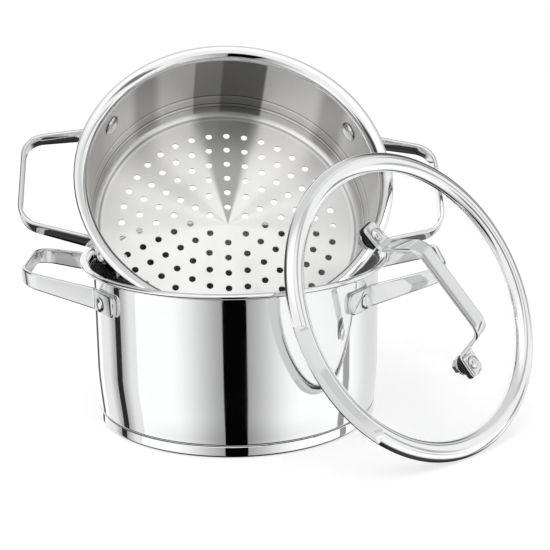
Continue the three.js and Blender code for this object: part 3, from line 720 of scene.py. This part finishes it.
def perforated_floor():
    """A round floor with rings of holes, each ring with more holes than the one inside it."""
    group, given, out = new_group(
        "perforated floor",
        "GeometryNodeTree",
        [
            ("Floor radius", NUMBER),
            ("Floor sides", COUNT),
            ("Sheet", NUMBER),
            ("Hole radius", NUMBER),
            ("Hole sides", COUNT),
            ("First ring", NUMBER),
            ("Ring step", NUMBER),
            ("Rings", COUNT),
            ("Turn", NUMBER),
            ("Finish", "NodeSocketMaterial"),
        ],
        ("Geometry", "NodeSocketGeometry"),
    )
    half_more = MORE_HOLES / 2

    def holes_within(rings):
        """How many holes a number of rings has."""
        most = maths(group, "MULTIPLY", rings, half_more)
        return maths(group, "MULTIPLY", most, maths(group, "ADD", rings, 1.0))

    total = holes_within(given["Rings"])
    index = node(group, "GeometryNodeInputIndex").outputs[0]
    root = maths(group, "SQRT", maths(group, "MULTIPLY_ADD", index, 4 / half_more, 1.0))
    ring = maths(group, "FLOOR", maths(group, "MULTIPLY_ADD", root, 0.5, RING_SHIFT))
    count_here = maths(group, "MULTIPLY_ADD", ring, MORE_HOLES, MORE_HOLES)
    share = maths(group, "DIVIDE", maths(group, "SUBTRACT", index, holes_within(ring)), count_here)
    angle = maths(group, "MULTIPLY_ADD", share, 2 * math.pi, given["Turn"])
    radius = maths(group, "MULTIPLY_ADD", ring, given["Ring step"], given["First ring"])
    spot = node(
        group,
        "ShaderNodeCombineXYZ",
        {
            0: maths(group, "MULTIPLY", radius, maths(group, "COSINE", angle)),
            1: maths(group, "MULTIPLY", radius, maths(group, "SINE", angle)),
        },
    ).outputs[0]
    points = node(group, "GeometryNodePoints", {"Count": total, "Position": spot}).outputs[0]

    def on_points(shape):
        copies = node(group, "GeometryNodeInstanceOnPoints", {"Points": points, "Instance": shape})
        return node(group, "GeometryNodeRealizeInstances", {0: copies.outputs[0]}).outputs[0]

    def circle(what):
        inputs = {"Resolution": given[what + " sides"], "Radius": given[what + " radius"]}
        return node(group, "GeometryNodeCurvePrimitiveCircle", inputs).outputs[0]

    def moved(shape, step):
        return node(group, "GeometryNodeTransform", {"Geometry": shape, "Translation": step}).outputs[0]

    hole, edge = circle("Hole"), circle("Floor")
    outlines = node(group, "GeometryNodeJoinGeometry")
    for part in (edge, on_points(hole)):
        group.links.new(part, outlines.inputs[0])
    plate = node(group, "GeometryNodeFillCurve", {0: outlines.outputs[0]}).outputs[0]
    height = node(group, "ShaderNodeCombineXYZ", {2: given["Sheet"]}).outputs[0]
    top = moved(plate, height)
    bottom = node(group, "GeometryNodeFlipFaces", {0: plate}).outputs[0]
    wall = node(
        group,
        "GeometryNodeMeshCylinder",
        {"Vertices": given["Hole sides"], "Radius": given["Hole radius"], "Depth": given["Sheet"]},
        fill_type="NONE",
    ).outputs[0]
    half = vectors(group, "MULTIPLY", height, (0.5, 0.5, 0.5))
    walls = moved(on_points(wall), half)
    joined = node(group, "GeometryNodeJoinGeometry")
    for part in (top, bottom, walls):
        group.links.new(part, joined.inputs[0])
    merged = node(group, "GeometryNodeMergeByDistance", {"Geometry": joined.outputs[0], "Distance": WELD})
    return dressed(group, merged.outputs[0], given, out)


def fastenings_round():
    """Copies of one fastening on two opposite sides, one or more at even angles on each side."""
    group, given, out = new_group(
        "fastenings round",
        "GeometryNodeTree",
        [
            ("Fastening", "NodeSocketObject"),
            ("On each side", COUNT),
            ("Half angle", NUMBER),
            ("Turn", NUMBER),
            ("Height", NUMBER),
            ("Finish", "NodeSocketMaterial"),
        ],
        ("Geometry", "NodeSocketGeometry"),
    )
    index = node(group, "GeometryNodeInputIndex").outputs[0]
    each = given["On each side"]
    side = maths(group, "FLOOR", maths(group, "DIVIDE", index, each))
    step = maths(group, "SUBTRACT", index, maths(group, "MULTIPLY", side, each))
    offset = maths(group, "SUBTRACT", step, maths(group, "MULTIPLY_ADD", each, 0.5, -0.5))
    whole_angle = maths(group, "MULTIPLY", given["Half angle"], 2.0)
    angle = maths(group, "MULTIPLY_ADD", offset, whole_angle, given["Turn"])
    angle = maths(group, "MULTIPLY_ADD", side, math.pi, angle)
    place = node(group, "ShaderNodeCombineXYZ", {2: given["Height"]}).outputs[0]
    total = maths(group, "MULTIPLY", each, 2.0)
    points = node(group, "GeometryNodePoints", {"Count": total, "Position": place}).outputs[0]
    shape = node(group, "GeometryNodeObjectInfo", {"Object": given["Fastening"]}).outputs["Geometry"]
    turn = node(group, "ShaderNodeCombineXYZ", {2: angle}).outputs[0]
    copies = node(
        group, "GeometryNodeInstanceOnPoints", {"Points": points, "Instance": shape, "Rotation": turn}
    ).outputs[0]
    return dressed(group, copies, given, out)


PERFORATED_FLOOR = perforated_floor()
FASTENINGS_ROUND = fastenings_round()


def fastenings(name, template, finish, place, each=1, half_angle=0.0, turn=0.0, height=0.0):
    """A set of one fastening as one piece, from a template mesh in millimetres."""
    pattern = placed(name + "_pattern", template)
    values = {
        "Fastening": pattern,
        "On each side": each,
        "Half angle": math.radians(half_angle),
        "Turn": math.radians(turn),
        "Height": height,
        "Finish": finish,
    }
    mesh = run_tree(name, FASTENINGS_ROUND, values)
    bpy.data.objects.remove(pattern)
    mesh.transform(place)
    return piece_of(name, mesh, [finish])


def settle(made, body, slot, *nodes):
    """Gives a finished piece its body and hides the solids that it stands for; the slot is not used."""
    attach(made, body)
    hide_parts(*nodes)


# Drawn shells
def lip(wall, edge, top):
    """The flare out to the lip and the edge rolled under it."""
    centre = (edge - SHEET / 2 - HEM_RADIUS, top - SHEET / 2 - FLARE_HEIGHT)
    flare = arc(centre, (centre[0] - wall, FLARE_HEIGHT), 180, 90, BEND_STEPS)
    hem_centre = (centre[0], centre[1] + FLARE_HEIGHT - HEM_RADIUS)
    hem = arc(hem_centre, (HEM_RADIUS, HEM_RADIUS), 90, -90, BEND_STEPS)
    return flare + hem[1:]


def make_pot_body():
    wall = POT_RADIUS - SHEET / 2
    foot = BASE_RADIUS - SHEET / 2
    corner = POT_CORNER - SHEET / 2
    bend = arc((foot - corner, GROOVE_HEIGHT), (corner, corner), -90, 0, BEND_STEPS)
    taper = []
    for i in range(1, BEND_STEPS + 1):
        share = i / BEND_STEPS
        drawn_in = (wall - foot) * math.sin(share * math.pi / 2)
        taper.append((foot + drawn_in, GROOVE_HEIGHT + (TAPER_HEIGHT - GROOVE_HEIGHT) * share))
    middle = supported([(0, GROOVE_HEIGHT - corner)] + bend + taper + lip(wall, LIP_RADIUS, POT_HEIGHT))
    outline = sheet_outline(middle, SHEET)
    outline[0] = (0, outline[0][1])
    outline[-1] = (0, outline[-1][1])

    def finish_of(band, profile):
        height = profile[band][1]
        return 1 if band >= len(profile) // 2 and height < POT_HEIGHT - FLARE_HEIGHT - SHEET else 0

    mesh = turned_mesh("pot_body", outline, POT_PLACE, finish_of=finish_of)
    settle(piece_of("pot_shell", mesh, [POT_STEEL, POT_INSIDE]), "pot", "polished_steel", "pot_body")


def make_base_cap():
    across = POT_CORNER - CAP_SHEET
    top = GROOVE_HEIGHT - math.sqrt(POT_CORNER**2 - across**2) - CLEARANCE
    centre = (BASE_RADIUS - CAP_CORNER, CAP_CORNER)
    inside = CAP_CORNER - CAP_SHEET
    edge = [(BASE_RADIUS, top - SOFT_EDGE), (BASE_RADIUS - SOFT_EDGE, top), (BASE_RADIUS - CAP_SHEET, top)]
    outline = [(0, 0)] + arc(centre, (CAP_CORNER, CAP_CORNER), -90, 0, BEND_STEPS) + edge
    outline += arc(centre, (inside, inside), 0, -90, BEND_STEPS) + [(0, CAP_SHEET)]
    mesh = turned_mesh("base_cap", supported(outline), POT_PLACE)
    settle(piece_of("base_cap_shell", mesh, [POT_STEEL]), "pot", "polished_steel", "base_cap")


def make_steamer_body():
    lower = NEST_RADIUS - SHEET / 2
    upper = STEAMER_RADIUS - SHEET / 2
    corner = STEAMER_CORNER - SHEET / 2
    floor = -STEAMER_DEPTH + SHEET / 2
    flat = lower - corner
    bend = arc((flat, floor + corner), (corner, corner), -90, 0, BEND_STEPS)
    shoulder = [
        ((lower, -SHOULDER_DEPTH - SHOULDER_LENGTH - SHOULDER_STRAIGHT), 0),
        ((lower, -SHOULDER_DEPTH - SHOULDER_LENGTH), SHOULDER_BEND),
        ((upper, -SHOULDER_DEPTH), SHOULDER_BEND),
        ((upper, -SHOULDER_DEPTH + SHOULDER_STRAIGHT), 0),
    ]
    middle = supported(bend + rounded(shoulder)[1:] + lip(upper, STEAMER_LIP, 0))
    outline = sheet_outline(middle, SHEET)
    outline[0] = (flat, -STEAMER_DEPTH)
    outline[-1] = (flat, -STEAMER_DEPTH + SHEET)

    def finish_of(band, profile):
        height = profile[band][1]
        inner = band >= len(profile) // 2
        if inner and height < -STEAMER_DEPTH + SHEET + STEAMER_CORNER / 2:
            return 2
        return 1 if inner and height < -FLARE_HEIGHT - SHEET else 0

    wall = turned_mesh("steamer_wall", outline, Matrix(), finish_of=finish_of)
    values = {
        "Floor radius": flat,
        "Floor sides": TURN_STEPS,
        "Sheet": SHEET,
        "Hole radius": HOLE_RADIUS,
        "Hole sides": HOLE_SIDES,
        "First ring": FIRST_HOLE_RING,
        "Ring step": HOLE_RING_STEP,
        "Rings": HOLE_RINGS,
        "Turn": math.radians(HOLE_TURN),
        "Finish": STEAMER_FLOOR,
    }
    plate = run_tree("steamer_floor", PERFORATED_FLOOR, values)
    plate.transform(Matrix.Translation((0, 0, -STEAMER_DEPTH)))
    plate.polygons.foreach_set("material_index", [2] * len(plate.polygons))
    whole = bmesh.new()
    whole.from_mesh(wall)
    whole.from_mesh(plate)
    bmesh.ops.remove_doubles(whole, verts=whole.verts, dist=WELD)
    mesh = bpy.data.meshes.new("steamer_body")
    whole.to_mesh(mesh)
    whole.free()
    mesh.transform(STEAMER_PLACE)
    made = piece_of("steamer_shell", mesh, [STEAMER_STEEL, STEAMER_INSIDE, STEAMER_FLOOR])
    settle(made, "steamer", "satin_steel", "steamer_body")


# Strap handles and their rivets
def handle_path(wall_radius):
    middle = wall_radius + CLEARANCE + STRAP / 2

    def on_wall(degrees):
        return (middle * math.cos(math.radians(degrees)), middle * math.sin(math.radians(degrees)))

    tab = [TAB_TIP + (TAB_FOLD - TAB_TIP) * i / BEND_STEPS for i in range(BEND_STEPS + 1)]
    fold = on_wall(TAB_FOLD)
    run = wall_radius + HANDLE_REACH - STRAP / 2
    corner = (run, fold[1] - (run - fold[0]) * math.tan(math.radians(LEG_SLANT)))
    half = [(on_wall(degrees), 0 if i < BEND_STEPS else FOLD_RADIUS) for i, degrees in enumerate(tab)]
    half.append((corner, LOOP_RADIUS))
    mirrored = [((point[0], -point[1]), radius) for point, radius in half][::-1]
    return rounded(half + mirrored), fold[0], run


def rivet_template(wall_radius):
    inside = math.sqrt((wall_radius - SHEET) ** 2 - INNER_HEAD_RADIUS**2) - CLEARANCE
    outside = wall_radius + CLEARANCE + STRAP + CLEARANCE
    inner = arc((0, inside), (INNER_HEAD_RADIUS, INNER_HEAD_HEIGHT), -90, 0, EDGE_STEPS * 2)
    outer = arc((0, outside), (HEAD_RADIUS, HEAD_HEIGHT), 0, 90, EDGE_STEPS * 2)
    profile = inner + [(RIVET_RADIUS, inside), (RIVET_RADIUS, outside)] + outer
    along_x = Matrix.Rotation(math.pi / 2, 4, "Y")
    return turned_mesh("rivet", profile, along_x, steps=SMALL_STEPS)


def make_handles(body, wall_radius, height, rise, place):
    path, fold, run = handle_path(wall_radius)

    def edges(point):
        out = min(1.0, max(0.0, (point[0] - fold) / (run - fold)))
        return height + rise * out, (TAB_HEIGHT + (RUN_HEIGHT - TAB_HEIGHT) * out) / 2

    for side, turn in (("right", 0), ("left", 180)):
        name = f"{body}_strap_{side}"
        mesh = strap_mesh(name, path, STRAP, TAB_ROUND, edges, place @ about_z(turn))
        made = piece_of(name, mesh, [STRAP_STEEL], sharp=60)
        settle(made, body, "polished_steel", f"{body}_handle_{side}")
    rivet, level = rivet_template(wall_radius), height - RIVET_DROP
    made = fastenings(f"{body}_rivets", rivet, STRAP_STEEL, place, 2, RIVET_ANGLE, height=level)
    names = [f"{body}_rivet_{side}_{end}" for side in ("right", "left") for end in ("front", "back")]
    settle(made, body, "polished_steel", *names)


# Lid
def make_lid_glass():
    under_edge = math.degrees(math.acos(GLASS_RADIUS / DOME_INSIDE))
    over_edge = math.degrees(math.acos(GLASS_RADIUS / DOME_RADIUS))
    under = arc((0, DOME_CENTRE), (DOME_INSIDE, DOME_INSIDE), 90, under_edge, 3 * BEND_STEPS)
    over = arc((0, DOME_CENTRE), (DOME_RADIUS, DOME_RADIUS), over_edge, 90, 3 * BEND_STEPS)
    mesh = turned_mesh("lid_glass", under + over, LID_PLACE)
    settle(piece_of("lid_dome", mesh, [GLASS]), "lid", "clear_glass", "lid_glass")


def rim_section(degrees):
    """The rim's outline at an angle round the lid, stepped down to a ledge along the pouring notch."""
    inward = math.sqrt(1 - (1 - RIM_DROP / RIM_HEIGHT) ** 2)
    half = RIM_WIDTH / (1 + inward)
    middle = LID_RADIUS - half
    notch = LID_RADIUS - NOTCH_DEPTH
    into = min(degrees - NOTCH_FROM, NOTCH_TO - degrees)
    stepped = into > 0
    deep = min(1.0, max(0.0, math.radians(into) * notch / NOTCH_CORNER))
    wall = notch + NOTCH_CORNER * (1 - math.sqrt(1 - (1 - deep) ** 2))
    ledge = -RIM_HEIGHT + NOTCH_LEDGE

    def over(angle):
        return (middle + half * math.cos(angle), -RIM_HEIGHT + RIM_HEIGHT * math.sin(angle))

    def under(radius):
        share = min(1.0, abs(radius - middle) / (half - RIM_SHEET))
        return -RIM_HEIGHT + (RIM_HEIGHT - RIM_SHEET) * math.sqrt(1 - share**2)

    end = math.pi - math.asin(1 - RIM_DROP / RIM_HEIGHT)
    at_wall = math.acos((wall - middle) / half)
    count = BEND_STEPS
    inner = [over(end + (at_wall - end) * i / count) for i in range(count + 1)]
    outer = [over(at_wall * (1 - i / count)) for i in range(count + 1)]
    if stepped:
        outer = [(radius, ledge) for radius, _ in outer]
    outer[0] = (outer[0][0] + NUDGE, outer[0][1])
    bottom = [(LID_RADIUS, -RIM_HEIGHT)] if stepped else [(LID_RADIUS, -RIM_HEIGHT - NUDGE / 2)]
    eave = []
    for i in range(1, count):
        radius = LID_RADIUS - RIM_SHEET - (LID_RADIUS - RIM_SHEET - SKIRT_OUTER) * i / count
        eave.append((radius, -RIM_HEIGHT if stepped else under(radius)))
    drop = -RIM_HEIGHT if stepped else under(SKIRT_OUTER)
    seat = SKIRT_INNER - GLASS_SEAT
    skirt = [(SKIRT_OUTER, drop), (SKIRT_OUTER, SEAT_BOTTOM), (seat, SEAT_BOTTOM), (seat, SEAT_TOP)]
    skirt += [(SKIRT_INNER, SEAT_TOP), (SKIRT_INNER, under(SKIRT_INNER))]
    tuck_height = -RIM_HEIGHT + (RIM_HEIGHT - RIM_SHEET) * math.sin(end)
    tuck = (middle + (half - RIM_SHEET) * math.cos(end), tuck_height)
    return inner + outer + bottom + eave + skirt + [tuck]


def make_lid_rim():
    angles = [360 * i / TURN_STEPS for i in range(TURN_STEPS)]
    for edge, inside in ((NOTCH_FROM, 1), (NOTCH_TO, -1)):
        angles += [edge - NOTCH_CLOSE, edge + NOTCH_CLOSE]
        angles += [edge + inside * (NOTCH_CLOSE + NOTCH_FINE * k) for k in range(1, NOTCH_STATIONS + 1)]
    angles = sorted({round(angle, 4) for angle in angles})
    points, faces = [], []
    sections = [rim_section(angle) for angle in angles]
    count = len(sections[0])
    for angle, section in zip(angles, sections):
        turn = math.radians(angle)
        points += [(radius * math.cos(turn), radius * math.sin(turn), height) for radius, height in section]
    for s in range(len(sections)):
        t = (s + 1) % len(sections)
        for k in range(count):
            j = (k + 1) % count
            faces.append((s * count + k, t * count + k, t * count + j, s * count + j))
    mesh = mesh_of("lid_rim", points, faces, LID_PLACE)
    settle(piece_of("lid_band", mesh, [LID_STEEL], sharp=32), "lid", "polished_steel", "lid_rim")


def on_foot():
    """From a foot's own place, with the top of the glass at height 0, onto the dome."""
    lift = Matrix.Translation((0, 0, DOME_RADIUS))
    return Matrix.Translation((0, 0, DOME_CENTRE)) @ Matrix.Rotation(FOOT_ANGLE, 4, "Y") @ lift


def make_lid_handle():
    foot = DOME_RADIUS + FOOT_BOTTOM + LID_STRAP / 2
    middle = Vector((foot * math.sin(FOOT_ANGLE), DOME_CENTRE + foot * math.cos(FOOT_ANGLE)))
    outward = Vector((math.cos(FOOT_ANGLE), -math.sin(FOOT_ANGLE)))
    half = [
        (middle + outward * FOOT_TIP, 0),
        (middle - outward * FOOT_HEEL, HEEL_RADIUS),
        (Vector((LID_RUN_LENGTH / 2, middle.y + LID_HANDLE_RISE)), SHOULDER_RADIUS),
    ]
    mirrored = [(Vector((-point.x, point.y)), radius) for point, radius in half][::-1]
    path = rounded(half + mirrored)
    upright = about_z(LID_HANDLE_TURN) @ Matrix.Rotation(math.pi / 2, 4, "X")

    def edges(point):
        return 0.0, LID_STRAP_WIDTH / 2

    mesh = strap_mesh("lid_handle", path, LID_STRAP, FOOT_ROUND, edges, LID_PLACE @ upright)
    settle(piece_of("lid_bridge", mesh, [STRAP_STEEL], sharp=60), "lid", "polished_steel", "lid_handle")


def gasket_template():
    x0, x1 = -FOOT_HEEL + HEEL_RADIUS / 2, FOOT_TIP + GASKET_MARGIN
    y1 = LID_STRAP_WIDTH / 2 + GASKET_MARGIN
    c = GASKET_CORNER
    outline = [(x0, y1), (x0, -y1)]
    outline += arc((x1 - c, -y1 + c), (c, c), -90, 0, BEND_STEPS)
    outline += arc((x1 - c, y1 - c), (c, c), 0, 90, BEND_STEPS)
    middle = Vector(((x0 + x1) / 2, 0))
    points = []
    levels = ((GASKET_SOFT, 0.0), (0.0, GASKET_SOFT), (0.0, GASKET - GASKET_SOFT), (GASKET_SOFT, GASKET))
    for inset, height in levels:
        for point in outline:
            inward = (middle - Vector(point)).normalized() * inset
            points.append((point[0] + inward.x, point[1] + inward.y, CLEARANCE + height))
    return mesh_of("gasket", points, sleeve(len(levels), len(outline)), on_foot())


def screw_template():
    seat = FOOT_TOP + CLEARANCE
    end = NUT_BOTTOM - SCREW_PAST_NUT
    head = arc((0, seat), (SCREW_HEAD_RADIUS, SCREW_HEAD_HEIGHT), 0, 90, EDGE_STEPS * 2)
    profile = [(0, end), (SCREW_RADIUS, end), (SCREW_RADIUS, seat)] + head
    return turned_mesh("screw", profile, on_foot(), steps=SMALL_STEPS)


def collar_template(name, radius, top, height, sides):
    bottom = top - height
    inset = radius - SOFT_EDGE
    hole = SCREW_RADIUS + CLEARANCE / 2
    profile = [(inset, bottom), (radius, bottom + SOFT_EDGE), (radius, top - SOFT_EDGE), (inset, top)]
    profile += [(hole, top), (hole, bottom)]
    return turned_mesh(name, profile, on_foot(), closed=True, steps=sides)


def make_lid_fastenings():
    washer = collar_template("washer", WASHER_RADIUS, WASHER_TOP, WASHER, SMALL_STEPS)
    nut = collar_template("nut", NUT_ACROSS, NUT_TOP, NUT_HEIGHT, NUT_SIDES)
    sets = (
        ("gasket", gasket_template(), RUBBER, "black_rubber"),
        ("screw", screw_template(), STRAP_STEEL, "polished_steel"),
        ("washer", washer, FASTENER_STEEL, "satin_steel"),
        ("nut", nut, FASTENER_STEEL, "satin_steel"),
    )
    for name, template, finish, slot in sets:
        made = fastenings(f"lid_{name}s", template, finish, LID_PLACE, turn=LID_HANDLE_TURN)
        settle(made, "lid", slot, f"lid_{name}_upper", f"lid_{name}_lower")


make_pot_body()
make_base_cap()
core_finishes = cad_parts["base_core"].data.materials
core_finishes.clear()
core_finishes.append(CORE_METAL)
make_handles("pot", POT_RADIUS, POT_HEIGHT - POT_HANDLE_DROP, POT_HANDLE_RISE, POT_PLACE)
make_steamer_body()
make_handles("steamer", STEAMER_RADIUS, -STEAMER_HANDLE_DROP, STEAMER_HANDLE_RISE, STEAMER_PLACE)
make_lid_glass()
make_lid_rim()
make_lid_handle()
make_lid_fastenings()


# Studio
FLAGS = (  # dark cards round the studio: direction, half width, soft edge and what is left of the light
    (-88.7, 0.0, 55.0, 0.3),
    (-88.7, 9.1, 0.6, 0.004),
    (162.0, 24.5, 1.0, 0.8),
    (165.3, 3.5, 13.0, 0.5),
    (165.3, 3.3, 0.8, 0.06),
    (125.5, 2.5, 1.0, 0.1),
    (10.0, 3.5, 1.0, 0.3),
    (55.0, 10.0, 34.0, 0.7),
    (88.0, 2.0, 12.0, 0.3),
)
BELOW = (-0.72, -0.46, 0.05)  # heights of the ray between which the table turns dark, and what is left
OVERHEAD = (-0.45, -0.1, 1.3, 0.75)  # the ceiling from the front to the back, and its two levels
HIGH_FLAGS = (  # dark cards above the horizon
    (172.0, 26.0, 14.0, 0.06),
    (62.0, 14.0, 14.0, 0.1),
    (26.0, 3.0, 6.0, 0.35),
    (-10.0, 2.0, 5.0, 0.5),
    (-40.0, 4.0, 7.0, 0.2),
)
SKY = 1.15  # the studio's walls where no card stands
SECOND_LIGHT = 0.8  # what a reflection in a reflection sees at least
HORIZON = (0.02, 0.16)  # heights of the ray between which the high cards take over
CEILING = (0.6, 0.8)  # heights of the ray between which the ceiling begins
ONE_REFLECTION = 1.5  # more reflections than this are second ones
DIFFUSE_LIGHT = 0.85


def make_world():
    world = bpy.data.worlds.new("studio")
    bpy.context.scene.world = world
    tree = bare_tree(world)
    ray = node(tree, "ShaderNodeTexCoord").outputs["Generated"]
    parts = node(tree, "ShaderNodeSeparateXYZ", {0: ray}).outputs
    azimuth = maths(tree, "ARCTAN2", parts["Y"], parts["X"])

    low, high = banded(tree, azimuth, FLAGS), banded(tree, azimuth, HIGH_FLAGS)
    rising = spread(tree, parts["Z"], *HORIZON, 0.0, 1.0, "SMOOTHSTEP")
    level = blended(tree, rising, maths(tree, "MULTIPLY", low, SKY), high)
    dark, light, left = BELOW
    level = maths(tree, "MULTIPLY", level, spread(tree, parts["Z"], dark, light, left, 1.0, "SMOOTHSTEP"))
    front, back, near, far = OVERHEAD
    ceiling = spread(tree, parts["Y"], front, back, near, far, "SMOOTHSTEP")
    level = blended(tree, spread(tree, parts["Z"], *CEILING, 0.0, 1.0), level, ceiling)
    path = node(tree, "ShaderNodeLightPath").outputs
    deep = maths(tree, "GREATER_THAN", path["Glossy Depth"], ONE_REFLECTION)
    second = maths(tree, "MULTIPLY", deep, SECOND_LIGHT)
    level = maths(tree, "MAXIMUM", level, second)
    seen = maths(tree, "MAXIMUM", path["Is Camera Ray"], path["Is Transmission Ray"])
    diffuse = maths(tree, "MULTIPLY_ADD", seen, 1.0 - DIFFUSE_LIGHT, DIFFUSE_LIGHT)
    glossy = maths(tree, "MULTIPLY", path["Is Glossy Ray"], maths(tree, "SUBTRACT", 1.0, seen))
    strength = blended(tree, glossy, diffuse, level)
    background = node(tree, "ShaderNodeBackground", {"Strength": strength, "Color": (1, 1, 1, 1)})
    node(tree, "ShaderNodeOutputWorld", {"Surface": background.outputs[0]})


FLOOR_SIZE = 30.0
FLOOR_GLOW = 0.62
FLOOR_COLOUR = 0.45
FLOOR_GAP = 0.0003


def make_floor():
    half = FLOOR_SIZE / 2
    corners = [(-half, -half, 0), (half, -half, 0), (half, half, 0), (-half, half, 0)]
    mesh = mesh_of("floor", corners, [(0, 1, 2, 3)], Matrix())
    floor = placed("floor", mesh)
    floor.location.z = -FLOOR_GAP
    finish = bpy.data.materials.new("floor_white")
    tree = bare_tree(finish)
    path = node(tree, "ShaderNodeLightPath").outputs
    seen = maths(tree, "MAXIMUM", path["Is Camera Ray"], path["Is Transmission Ray"])
    glow = node(tree, "ShaderNodeEmission", {"Strength": maths(tree, "MULTIPLY", seen, FLOOR_GLOW)})
    grey = (FLOOR_COLOUR, FLOOR_COLOUR, FLOOR_COLOUR, 1)
    paper = node(tree, "ShaderNodeBsdfDiffuse", {"Color": grey})
    both = node(tree, "ShaderNodeAddShader", {0: glow.outputs[0], 1: paper.outputs[0]})
    node(tree, "ShaderNodeOutputMaterial", {"Surface": both.outputs[0]})
    mesh.materials.append(finish)
    floor.visible_glossy = False


LAMP_PLACE = (-0.35, -0.5, 1.5)
LAMP_TARGET = (0.0, 0.0, 0.1)
LAMP_SIZE = 1.6
LAMP_POWER = 8.0


def make_lamp():
    lamp = bpy.data.lights.new("top_softbox", "AREA")
    lamp.shape = "DISK"
    lamp.size = LAMP_SIZE
    lamp.energy = LAMP_POWER
    made = placed("top_softbox", lamp)
    made.location = LAMP_PLACE
    ray = Vector(LAMP_TARGET) - Vector(LAMP_PLACE)
    made.rotation_euler = ray.to_track_quat("-Z", "Y").to_euler()
    made.visible_glossy = False


CAMERA_HEIGHT = 15.471
CAMERA_DISTANCE = 0.90379
CAMERA_TARGET = (0.02859, 0.0, 0.09618)
CAMERA_ROLL = -0.551
CAMERA_LENS = 84.05
SENSOR_WIDTH = 36.0


def make_camera():
    lens = bpy.data.cameras.new("camera")
    lens.lens = CAMERA_LENS
    lens.sensor_width = SENSOR_WIDTH
    camera = placed("camera", lens)
    tilt = math.radians(CAMERA_HEIGHT)
    forward = Vector((0, math.cos(tilt), -math.sin(tilt)))
    place = Matrix.Translation(Vector(CAMERA_TARGET) - forward * CAMERA_DISTANCE)
    upright = Matrix.Rotation(math.pi / 2 - tilt, 4, "X")
    camera.matrix_world = place @ upright @ about_z(CAMERA_ROLL)
    bpy.context.scene.camera = camera


make_world()
make_floor()
make_lamp()
make_camera()
bpy.context.scene.view_settings.view_transform = "Standard"
